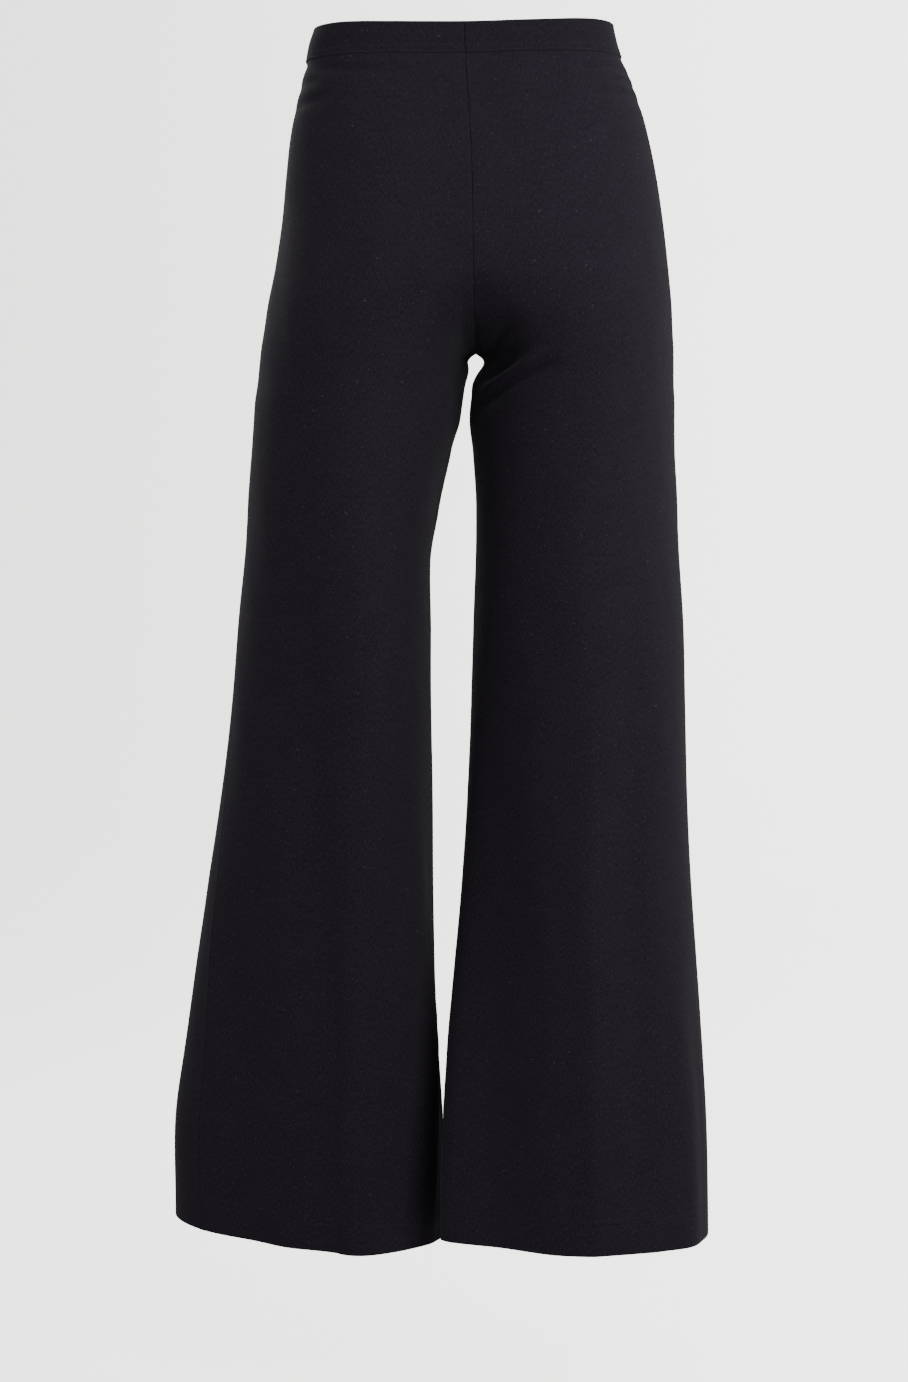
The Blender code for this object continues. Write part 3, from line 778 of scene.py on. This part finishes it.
def ring_stretches(drop, count=160):
    """The whole waist's ring at one height, as stretches of (leg, turns, drops)."""
    turns = np.linspace(1, -1, 2 * count)
    level = drop + 0 * turns
    return [("left", turns[:-1], level[:-1]), ("right", turns[::-1], level)]


def leg_stretches(leg, drop, count=400):
    """The whole ring of one leg at one height, as a stretch of (leg, turns, drops)."""
    turns = np.linspace(-1, 1, count)
    return [(leg, turns, drop + 0 * turns)]


def band_allowance():
    """The overlocked allowance of the waistband's join, pressed up behind the band: a flat oval
    section carried around the waist."""
    wide, deep = oval_section()
    drops = WAIST_ALLOWANCE_DROP + WAIST_ALLOWANCE_HALF_HEIGHT * wide[:, None]
    outwards = (BAND_STEP - BAND_THICKNESS - WAIST_ALLOWANCE_IN
                + WAIST_ALLOWANCE_HALF_DEPTH * deep[:, None])
    points, flats, run = [], [], 0.0
    for leg, turns, _ in ring_stretches(0.0, BAND_COLUMNS // 2):
        ring = cloth_point(leg, turns[None, :], drops, outwards, BAND_DENTS)
        arc = run + run_length(ring[0])
        run = arc[-1]
        points.append(ring)
        flats.append(np.stack(np.broadcast_arrays(drops - 4, arc[None, :]), axis=-1))
    return np.concatenate(points, axis=1)[:, :-1], np.concatenate(flats, axis=1)[:, :-1]


def stitch_form(length, thread):
    """One stitch lying along x: five rings of five points, arched as 1 - (2x / length)^2 so that
    its ends dip into the cloth, and thinner there. Returns its points and faces."""
    rings, sides = 5, 5
    x = np.linspace(-1, 1, rings)[:, None]
    angle = (np.arange(sides) / sides * 2 * math.pi)[None, :]
    radius = thread / 2 * np.sqrt(1 - STITCH_THINNING * x ** 4)
    rise = thread * STITCH_ARCH * (1 - x ** 2) - thread * STITCH_SET
    points = np.stack([x * length / 2 + 0 * angle, radius * np.cos(angle),
                       rise + radius * np.sin(angle)], axis=-1)
    ring, spoke = np.meshgrid(np.arange(rings - 1), np.arange(sides), indexing="ij")
    following = (spoke + 1) % sides
    quads = np.stack([ring * sides + following, (ring + 1) * sides + following,
                      (ring + 1) * sides + spoke, ring * sides + spoke], axis=-1)
    caps = np.array([np.arange(sides)[::-1], (rings - 1) * sides + np.arange(sides)])
    return points.reshape(-1, 3), quads.reshape(-1, 4), caps


def stitch_line(path, normals, spacing, length, thread, slant=0.0):
    """Stitches set evenly along a path: each is the stitch's form turned to the path's direction,
    leaning one way and the other by the slant, and stood on the cloth's normal."""
    run = run_length(path)
    count = max(int(run[-1] / spacing), 2)
    at = (np.arange(count) + 0.5) * run[-1] / count

    def pick(values, where):
        """Values at distances along the path."""
        return np.stack([np.interp(where, run, values[:, k]) for k in range(3)], axis=-1)

    centre, up = pick(path, at), unit(pick(normals, at))
    forward = pick(path, np.minimum(at + 0.5, run[-1])) - pick(path, np.maximum(at - 0.5, 0))
    forward = unit(forward - up * np.sum(forward * up, axis=-1, keepdims=True))
    lean = np.where(np.arange(count) % 2, slant, -slant)[:, None]
    forward = forward * np.cos(lean) + np.cross(up, forward) * np.sin(lean)
    sideways = np.cross(up, forward)
    form, quads, caps = stitch_form(length, thread)
    points = (centre[:, None] + form[None, :, :1] * forward[:, None]
              + form[None, :, 1:2] * sideways[:, None] + form[None, :, 2:] * up[:, None])
    offset = (np.arange(count) * len(form))[:, None, None]
    return (points.reshape(-1, 3), (quads[None] + offset).reshape(-1, 4),
            (caps[None] + offset).reshape(-1, caps.shape[1]))


def seam_path(pieces, outwards, creases):
    """A line on the cloth and its normals, through stretches of (leg, turns, drops)."""
    path, normals = [], []
    for leg, turns, drops in pieces:
        here = cloth_point(leg, turns, drops, outwards, creases)
        above = cloth_point(leg, turns, drops, outwards + 1.0, creases)
        path.append(here)
        normals.append(above - here)
    return np.concatenate(path), np.concatenate(normals)


# ---- Meshes ----

def grid_quads(rows, columns, flip, ring=False, loop=False):
    """The quads of a grid of points. ring closes its columns, loop closes its rows."""
    index = np.arange(rows * columns).reshape(rows, columns)
    if ring:
        index = np.concatenate([index, index[:, :1]], axis=1)
    if loop:
        index = np.concatenate([index, index[:1]], axis=0)
    quads = np.stack([index[:-1, :-1], index[1:, :-1], index[1:, 1:], index[:-1, 1:]], axis=-1)
    quads = quads.reshape(-1, 4)
    return quads[:, ::-1] if flip else quads


def rim_quads(rows, columns, flip):
    """The quads that join two grids of the same size around their border."""
    index = np.arange(rows * columns).reshape(rows, columns)
    border = np.concatenate([index[0, :-1], index[:-1, -1], index[-1, :0:-1], index[:0:-1, 0]])
    following = np.roll(border, -1)
    quads = np.stack([border, following, following + rows * columns, border + rows * columns],
                     axis=-1)
    return quads[:, ::-1] if flip else quads


def make_mesh(name, points, face_groups, flat=None):
    """A smooth mesh from points in millimetres, with a UV map in metres where flat is given."""
    mesh = bpy.data.meshes.new(name)
    mesh.vertices.add(len(points))
    mesh.vertices.foreach_set("co", (points * MM).astype(np.float32).ravel())
    loops = np.concatenate([faces.ravel() for faces in face_groups])
    sizes = np.concatenate([np.full(len(faces), faces.shape[1]) for faces in face_groups])
    mesh.loops.add(len(loops))
    mesh.loops.foreach_set("vertex_index", loops.astype(np.int32))
    mesh.polygons.add(len(sizes))
    starts = np.concatenate([[0], np.cumsum(sizes)[:-1]])
    mesh.polygons.foreach_set("loop_start", starts.astype(np.int32))
    mesh.update(calc_edges=True)
    if flat is not None:
        layer = mesh.uv_layers.new(name="flat_cloth")
        layer.data.foreach_set("uv", (flat[loops] * MM).astype(np.float32).ravel())
    mesh.validate()
    mesh.shade_smooth()
    return mesh


def place_piece(name, mesh, material, slot, *nodes):
    """Puts a mesh in the scene as a piece that rides with the garment and replaces nodes."""
    mesh.materials.append(material)
    piece = bpy.data.objects.new(name, mesh)
    bpy.context.scene.collection.objects.link(piece)
    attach(piece, "root")
    if nodes:
        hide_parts(*nodes)
    return piece


def sheet_mesh(name, outer, inner, flat, flip):
    """A closed wall from its outer and inner grids."""
    rows, columns = outer.shape[:2]
    points = np.concatenate([outer.reshape(-1, 3), inner.reshape(-1, 3)])
    count = rows * columns
    groups = [grid_quads(rows, columns, flip), grid_quads(rows, columns, not flip) + count,
              rim_quads(rows, columns, flip)]
    return make_mesh(name, points, groups, np.concatenate([flat.reshape(-1, 2)] * 2))


def ring_mesh(name, points, flat):
    """A closed ring: a section carried all the way around."""
    quads = grid_quads(*points.shape[:2], False, ring=True, loop=True)
    return make_mesh(name, points.reshape(-1, 3), [quads], flat.reshape(-1, 2))


def tube_mesh(name, points, flat, flip):
    """A closed strip: rings of points one after another, with a flat cap at each end."""
    rows, columns = points.shape[:2]
    count = rows * columns
    caps = np.stack([np.arange(columns), np.arange(count - columns, count)[::-1]])
    caps = caps[:, ::-1] if flip else caps
    groups = [grid_quads(rows, columns, flip, ring=True), caps]
    return make_mesh(name, points.reshape(-1, 3), groups, flat.reshape(-1, 2))


def thread_mesh(name, lines):
    """Many lines of stitches in one mesh."""
    points, quads, caps, count = [], [], [], 0
    for line_points, line_quads, line_caps in lines:
        points.append(line_points)
        quads.append(line_quads + count)
        caps.append(line_caps + count)
        count += len(line_points)
    return make_mesh(name, np.concatenate(points), [np.concatenate(quads), np.concatenate(caps)])


# ---- Materials ----

class Value:
    """A number socket that takes part in arithmetic: each operator adds its Math node."""

    def __init__(self, finish, socket):
        self.finish = finish
        self.socket = socket

    def math(self, operation, *others):
        """A Math node on this value and others."""
        return self.finish.node("ShaderNodeMath", {"operation": operation}, self,
                                *others)["Value"]

    def __add__(self, other):
        return self.math("ADD", other)

    def __sub__(self, other):
        return self.math("SUBTRACT", other)

    def __rsub__(self, other):
        return self.finish.node("ShaderNodeMath", {"operation": "SUBTRACT"}, other, self)["Value"]

    def __mul__(self, other):
        return self.math("MULTIPLY", other)

    def __truediv__(self, other):
        return self.math("DIVIDE", other)

    def __pow__(self, other):
        return self.math("POWER", other)

    def __abs__(self):
        return self.math("ABSOLUTE")

    def fraction(self):
        """What is left over the whole number below."""
        return self.math("FRACT")

    def wave(self):
        """A cosine from 0 to 1 with a period of 1."""
        return (self * (2 * math.pi)).math("COSINE") * 0.5 + 0.5

    def above(self, edge, softness):
        """0 below an edge and 1 above it, with a soft step of a given width."""
        return self.finish.node("ShaderNodeMapRange", {"interpolation_type": "SMOOTHSTEP"},
                                Value=self, From_Min=edge - softness / 2,
                                From_Max=edge + softness / 2)["Result"]


class Finish:
    """A node material under construction, with its Principled shader."""

    def __init__(self, name, **constants):
        self.material = bpy.data.materials.new(name)
        self.material.use_nodes = True
        self.tree = self.material.node_tree
        self.shader = self.tree.nodes["Principled BSDF"]
        for socket, value in constants.items():
            self.shader.inputs[socket.replace("_", " ")].default_value = value

    def node(self, kind, settings=None, *values, **named):
        """Any node: its settings first, then the values or links of its sockets, by order or by
        name. Returns its outputs by name."""
        made = self.tree.nodes.new(kind)
        for name, value in (settings or {}).items():
            setattr(made, name, value)
        for index, value in enumerate(values):
            self.feed(made.inputs[index], value)
        for name, value in named.items():
            wanted = name.replace("_", " ")
            self.feed(next(s for s in made.inputs if s.name == wanted and s.enabled), value)
        return {out.name: Value(self, out) for out in made.outputs if out.enabled}

    def feed(self, socket, value):
        """Links a value to a socket, or sets a plain number or colour on it."""
        if isinstance(value, Value):
            self.tree.links.new(value.socket, socket)
        else:
            socket.default_value = value

    def place(self, scale=(1, 1, 1), source="Object", turn=0.0):
        """Coordinates on the piece, turned and scaled: Object in metres, or UV on the flat
        cloth."""
        coordinates = self.node("ShaderNodeTexCoord")[source]
        return self.node("ShaderNodeMapping", {"vector_type": "TEXTURE"}, Vector=coordinates,
                         Rotation=(0, 0, turn),
                         Scale=tuple(1 / part for part in scale))["Vector"]

    def across_and_along(self, wale, course):
        """The flat cloth's two coordinates, counted in wales across and courses along."""
        parts = self.node("ShaderNodeSeparateXYZ", {}, self.place(source="UV"))
        return parts["X"] / wale, parts["Y"] / course

    def noise(self, where, scale, detail=2.0, rough=0.5):
        """Fractal noise from 0 to 1."""
        return self.node("ShaderNodeTexNoise", {"noise_dimensions": "3D"}, Vector=where,
                         Scale=scale, Detail=detail, Roughness=rough)["Fac"]

    def specks(self, where, scale, size, share):
        """1 on specks of a size in cells, in a share of the cells of a flat pattern, and 0
        elsewhere."""
        cell = self.node("ShaderNodeTexVoronoi", {"voronoi_dimensions": "2D"}, Vector=where,
                         Scale=scale)
        chance = self.node("ShaderNodeSeparateColor", {}, cell["Color"])["Red"]
        near = 1 - cell["Distance"].above(size, size)
        return near * (1 - chance.above(share, 0.02))

    def between(self, factor, low, high):
        """A colour between two others."""
        return self.node("ShaderNodeMix", {"data_type": "RGBA"}, Factor=factor, A=low,
                         B=high)["Result"]

    def colour(self, value):
        """Feeds the shader's base colour."""
        self.feed(self.shader.inputs["Base Color"], value)

    def roughness(self, value):
        """Feeds the shader's roughness."""
        self.feed(self.shader.inputs["Roughness"], value)

    def relief(self, height, distance):
        """Bumps the surface by a height, whose full range is a distance in metres."""
        bump = self.node("ShaderNodeBump", {}, Height=height, Distance=distance)["Normal"]
        self.feed(self.shader.inputs["Normal"], bump)


def knit_finish(name, sizes, pale):
    """The double knit. Its loops are V shapes, (1 - (2a - 1)^2)(0.6 + 0.4 wave(b + |2a - 1| / 3))
    with a across a wale and b along the courses, and its fibres are paler and darker in a fine
    heather of noise, drawn out along the wales. Specks of lint lie on it. pale is the share of
    pale fibres."""
    finish = Finish(name, Sheen_Weight=sizes.sheen, Sheen_Roughness=0.45,
                    Specular_IOR_Level=0.12)
    across, along = finish.across_and_along(KNIT_PITCH, KNIT_PITCH)
    slope = abs(across.fraction() * 2 - 1)
    loops = (1 - slope ** 2) * ((along + slope / 3).wave() * 0.4 + 0.6)
    flat = finish.place(source="UV")
    streaks = finish.noise(finish.place((1, 0.3, 1), "UV"), 950, 2.0, 0.6)
    heather = finish.noise(flat, 800, 2.0, 0.75)
    clouds = finish.noise(finish.place(), 45, 3.0, 0.6)
    fibres = (streaks - 0.5) * 1.1 + (heather - 0.5) * 1.2 + (clouds - 0.5) * 0.2 + pale
    fibres = fibres.math("MAXIMUM", 0.0).math("MINIMUM", 1.0)
    dots = finish.specks(flat, 90, 0.030, 0.45)
    hairs = finish.specks(finish.place((0.2, 1, 1), "UV", 0.6), 300, 0.09, 0.008)
    lint = dots.math("MAXIMUM", hairs)
    threads = finish.between(fibres * (loops * 0.5 + 0.6), sizes.cloth_colour,
                             sizes.fibre_colour)
    finish.colour(finish.between(lint * 0.32, threads, sizes.lint_colour))
    finish.roughness(0.96 - loops * 0.14 - fibres * 0.06)
    finish.relief(loops * 0.55 + heather * 0.45 + lint * 0.5, 0.16 * MM)
    return finish.material


def thread_finish(name, sizes):
    """Twisted polyester sewing thread: diagonal turns of its plies, a little smoother than the
    knit."""
    finish = Finish(name, Specular_IOR_Level=0.4)
    parts = finish.node("ShaderNodeSeparateXYZ", {}, finish.place())
    plies = ((parts["X"] + parts["Z"] * 0.8 + parts["Y"] * 0.6) / (0.5 * MM)).wave()
    fuzz = finish.noise(finish.place(), 2600)
    finish.colour(finish.between(plies * 0.45 + fuzz * 0.4, sizes.cloth_colour,
                                 sizes.thread_colour))
    finish.roughness(0.72 - plies * 0.18)
    finish.relief(plies, 0.06 * MM)
    return finish.material


def overlock_finish(name, sizes):
    """The overlocked edge of a seam allowance: slanting loops of thread over the knit, with a
    raised cord along the free edge."""
    finish = Finish(name, Specular_IOR_Level=0.3)
    across, along = finish.across_and_along(MM, 1.9 * MM)
    loops = (along + abs(across - 3) * 0.12).wave() ** 2
    wrapped = across.above(1.6, 0.4)
    fuzz = finish.noise(finish.place(), 1500)
    finish.colour(finish.between(loops * wrapped * 0.7 + fuzz * 0.3, sizes.cloth_colour,
                                 sizes.thread_colour))
    finish.roughness(0.9 - loops * 0.2)
    finish.relief(loops * wrapped + fuzz * 0.25, 0.3 * MM)
    return finish.material


def paper_finish(studio):
    """Matt studio paper with a faint mottle, which glows by painted light: its emission makes it
    bright without a lamp, and fades to a dimmer colour towards +X as a painted falloff of light.
    """
    finish = Finish("studio_paper", Specular_IOR_Level=0.1, Emission_Strength=studio.glow)
    mottle = finish.noise(finish.place(), 3.0, 2.0)
    darker = tuple(0.97 * part for part in studio.paper[:3]) + (1,)
    paper = finish.between(mottle, darker, studio.paper)
    finish.colour(paper)
    finish.roughness(mottle * 0.06 + 0.88)
    # Painted light: the paper's emission, which fades towards +X as a painted falloff of light
    # across the backdrop.
    side = finish.node("ShaderNodeSeparateXYZ", {}, finish.place())["X"]
    painted_dim_glow = tuple(0.65 * part for part in studio.paper[:3]) + (1,)
    glow = finish.between(side.above(0.1, 2.4), paper, painted_dim_glow)
    finish.feed(finish.shader.inputs["Emission Color"], glow)
    return finish.material


# ---- Studio ----

# Soft lights: a name, a place, the point it faces and its size, in metres. Their powers are
# settings of the same names.
LIGHTS = (
    ("key", (-1.0, 1.42, 0.35), (0.0, 0.0, -0.35), (1.1, 1.0)),
    ("side", (-1.6, 0.2, -0.1), (-0.15, 0.0, -0.45), (0.8, 1.2)),
    ("fill", (1.7, 0.3, 0.0), (0.15, 0.0, -0.35), (0.8, 1.2)),
    ("top", (-0.3, 0.4, 2.6), (0.0, 0.0, -0.5), (3.2, 3.2)),
    ("front", (0.8, -1.6, 0.35), (0.0, 0.0, -0.4), (1.1, 1.0)),
)
ROOM_COLOUR = (1.0, 0.99, 0.985, 1)
CAMERA_PLACE = (0.0086, 3.0, -0.334)
CAMERA_TILT = 85.9
CAMERA_LENS = 90.78
CAMERA_SENSOR = 36.0


def make_cove(studio):
    """The floor and backdrop as one round cove of paper: a profile that is flat, then a quarter
    circle, then upright, turned about the vertical. Its glow doesn't light the cloth."""
    floor, corner, height = 4.2, 1.8, 4.6
    turn = np.linspace(0, math.pi / 2, 25)
    out = np.concatenate([[0.02, 1.5, 3.0], floor + corner * np.sin(turn), [floor + corner]])
    up = np.concatenate([[0.0, 0.0, 0.0], corner * (1 - np.cos(turn)), [height]])
    around = np.linspace(0, 2 * math.pi, 96, endpoint=False)[None, :]
    points = np.stack([out[:, None] * np.cos(around), out[:, None] * np.sin(around),
                       up[:, None] + studio.floor + 0 * around], axis=-1)
    rows, columns = points.shape[:2]
    mesh = make_mesh("paper_cove", points.reshape(-1, 3) / MM,
                     [grid_quads(rows, columns, False, ring=True), np.arange(columns)[None, :]])
    mesh.materials.append(paper_finish(studio))
    cove = bpy.data.objects.new("paper_cove", mesh)
    cove.visible_diffuse = False
    cove.visible_glossy = False
    bpy.context.scene.collection.objects.link(cove)


def make_light(name, location, target, size, power_watts):
    """A soft rectangular light, turned towards a target."""
    light = bpy.data.lights.new(name, "AREA")
    light.shape = "RECTANGLE"
    light.size, light.size_y = size
    light.energy = power_watts
    lamp = bpy.data.objects.new(name, light)
    lamp.location = location
    aim = mathutils.Vector(target) - mathutils.Vector(location)
    lamp.rotation_euler = aim.to_track_quat("-Z", "Y").to_euler()
    lamp.visible_camera = False
    bpy.context.scene.collection.objects.link(lamp)


# ---- Operators ----

def known_material(name, make, *args):
    """A material by name, made the first time."""
    return bpy.data.materials.get(name) or make(name, *args)


def check_node(node):
    """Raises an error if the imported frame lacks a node."""
    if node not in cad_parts:
        raise RuntimeError("The frame has no node " + node)


def sew(name, rows, creases, outwards, way, step, share, slant=0.0):
    """Sews rows of stitches, each given as stretches of (leg, turns, drops), as one piece. They
    stand outwards where way is 1 and inwards where it is -1, and fill a share of each step."""
    sizes = bpy.context.scene.pants_sizes
    lines = []
    for row in rows:
        path, normals = seam_path(row, outwards, creases)
        lines.append(stitch_line(path, normals * way, step, step * share, sizes.thread / MM,
                                 slant))
    material = known_material("sewing_thread", thread_finish, sizes)
    place_piece(name, thread_mesh(name, lines), material, "black_knit")


class PANTS_OT_waistband(bpy.types.Operator):
    """Fold and sew the waistband's doubled strip"""

    bl_idname = "pants.waistband"
    bl_label = "Waistband"
    bl_options = {"REGISTER", "UNDO"}

    def execute(self, context):
        check_node("waistband")
        sizes = context.scene.pants_sizes
        points, flat = band_sheet()
        mesh = ring_mesh("waistband_cloth", points, flat)
        knit = known_material("doubled_knit", knit_finish, sizes, 0.24)
        band = place_piece("waistband_cloth", mesh, knit, "band_knit", "waistband")
        return {"FINISHED"}


class PANTS_OT_leg_panels(bpy.types.Operator):
    """Cut and hang the four leg panels with their turned-up hems"""

    bl_idname = "pants.leg_panels"
    bl_label = "Leg Panels"
    bl_options = {"REGISTER", "UNDO"}

    def execute(self, context):
        sizes = context.scene.pants_sizes
        knit = known_material("double_knit", knit_finish, sizes, 0.3)
        for leg in LEGS:
            for face in FACES:
                node = face + "_" + leg
                check_node(node)
                outer, inner, flat = panel_sheet(leg, face, sizes)
                flip = (leg == "left") != (face == "back")
                mesh = sheet_mesh(node + "_cloth", outer, inner, flat, flip)
                panel = place_piece(node + "_cloth", mesh, knit, "black_knit", node)
                drops = np.linspace(BAND_HEIGHT / 2, HEM_DROP, 60)
                widths = panel_width(leg, face, drops) * MM
        return {"FINISHED"}


class PANTS_OT_allowances(bpy.types.Operator):
    """Overlock the seam allowances inside"""

    bl_idname = "pants.allowances"
    bl_label = "Seam Allowances"
    bl_options = {"REGISTER", "UNDO"}

    def execute(self, context):
        """Makes a strip along each seam and a ring under the waistband."""
        sizes = context.scene.pants_sizes
        edge_material = known_material("overlocked_edge", overlock_finish, sizes)
        top, end = BAND_HEIGHT / 2 + ALLOWANCE_TOP, HEM_DROP - ALLOWANCE_START
        crotch = CROTCH_DROP - CROTCH_CLEARANCE
        strips = [("centre_back", "left", 1, top, crotch),
                  ("centre_front", "left", -1, top, crotch)]
        for leg in LEGS:
            strips.append((leg + "_side", leg, 0, top, end))
            strips.append((leg + "_inner", leg, 1, CROTCH_DROP + ALLOWANCE_START, end))
        for seam, leg, edge, drop_top, drop_end in strips:
            name = seam + "_allowance"
            points, flat = allowance_strip(leg, edge, drop_top, drop_end, sizes)
            mesh = tube_mesh(name, points, flat, (leg == "left") != (edge <= 0))
            place_piece(name, mesh, edge_material, "black_knit")
        mesh = ring_mesh("waist_allowance", *band_allowance())
        place_piece("waist_allowance", mesh, edge_material, "black_knit")
        return {"FINISHED"}


class PANTS_OT_band_stitches(bpy.types.Operator):
    """Sew the two rows of stitches along the waistband"""

    bl_idname = "pants.band_stitches"
    bl_label = "Band Stitches"
    bl_options = {"REGISTER", "UNDO"}

    def execute(self, context):
        """Sets the stitches outside, and the thread's return on the allowance inside."""
        step = context.scene.pants_sizes.band_stitch / MM
        rows = [ring_stretches(drop) for drop in BAND_STITCH_DROPS]
        sew("waistband_stitches", rows, BAND_DENTS, BAND_STITCH_OUT, 1, step, BAND_STITCH_SHARE)
        sew("waistband_loops", rows, BAND_DENTS, BAND_LOOP_OUT, -1, step, BAND_STITCH_SHARE)
        return {"FINISHED"}


class PANTS_OT_hem_stitches(bpy.types.Operator):
    """Sew the two rows of stitches around each hem"""

    bl_idname = "pants.hem_stitches"
    bl_label = "Hem Stitches"
    bl_options = {"REGISTER", "UNDO"}

    def execute(self, context):
        """Sets both rows outside, and inside the slanting threads that cover the raw edge."""
        sizes = context.scene.pants_sizes
        step, inside = sizes.hem_stitch / MM, -2 * sizes.hem_fold / MM
        for leg in LEGS:
            rows = [leg_stretches(leg, HEM_DROP - rise) for rise in HEM_STITCH_RISES]
            sew(leg + "_hem_stitches", rows, CREASES, HEM_STITCH_OUT, 1, step, HEM_STITCH_SHARE)
            sew(leg + "_hem_loops", rows, CREASES, inside, -1, step, HEM_STITCH_SHARE, LOOP_SLANT)
        return {"FINISHED"}


class PANTS_OT_studio(bpy.types.Operator):
    """Set up the floor, the lights and the camera"""

    bl_idname = "pants.studio"
    bl_label = "Studio"
    bl_options = {"REGISTER", "UNDO"}

    def execute(self, context):
        """Makes a paper sweep, five soft lights, an even room light and the camera."""
        studio = context.scene.studio_settings
        make_cove(studio)
        for name, place, target, size in LIGHTS:
            make_light(name + "_light", place, target, size, getattr(studio, name))
        world = bpy.data.worlds.new("studio_room")
        world.use_nodes = True
        room = world.node_tree.nodes["Background"]
        room.inputs["Color"].default_value = ROOM_COLOUR
        room.inputs["Strength"].default_value = studio.sky
        context.scene.world = world
        camera_data = bpy.data.cameras.new("camera")
        camera_data.lens = CAMERA_LENS
        camera_data.sensor_width = CAMERA_SENSOR
        camera_data.dof.use_dof = False
        camera = bpy.data.objects.new("camera", camera_data)
        camera.location = CAMERA_PLACE
        camera.rotation_euler = (math.radians(CAMERA_TILT), 0.0, math.pi)
        context.scene.collection.objects.link(camera)
        context.scene.camera = camera
        return {"FINISHED"}


class PANTS_PT_tools(bpy.types.Panel):
    """The steps of making the pants, in order"""

    bl_label = "Palazzo Pants"
    bl_idname = "PANTS_PT_tools"
    bl_space_type = "VIEW_3D"
    bl_region_type = "UI"
    bl_category = "Pants"

    def draw(self, context):
        """Lists the operators and the sizes."""
        column = self.layout.column(align=True)
        for operator in OPERATORS:
            column.operator(operator.bl_idname)
        for settings in (context.scene.pants_sizes, context.scene.studio_settings):
            column = self.layout.column()
            for name in settings.__annotations__:
                column.prop(settings, name)


# ---- Registration ----

OPERATORS = (PANTS_OT_waistband, PANTS_OT_leg_panels, PANTS_OT_allowances,
             PANTS_OT_band_stitches, PANTS_OT_hem_stitches, PANTS_OT_studio)
CLASSES = (PantsSizes, StudioSettings) + OPERATORS + (PANTS_PT_tools,)


def register():
    """Adds the classes, and the settings on the scene."""
    for kind in CLASSES:
        bpy.utils.register_class(kind)
    bpy.types.Scene.pants_sizes = bpy.props.PointerProperty(type=PantsSizes)
    bpy.types.Scene.studio_settings = bpy.props.PointerProperty(type=StudioSettings)


def unregister():
    """Removes them again."""
    del bpy.types.Scene.studio_settings
    del bpy.types.Scene.pants_sizes
    for kind in reversed(CLASSES):
        bpy.utils.unregister_class(kind)


def write_sizes():
    """Updates the view layer, so that the pieces' places are current."""
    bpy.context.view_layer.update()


def main():
    """Registers the tools, makes every piece in order and sets up the studio."""
    register()
    bpy.ops.pants.waistband()
    bpy.ops.pants.leg_panels()
    bpy.ops.pants.allowances()
    bpy.ops.pants.band_stitches()
    bpy.ops.pants.hem_stitches()
    bpy.ops.pants.studio()
    write_sizes()


if __name__ == "__main__":
    main()
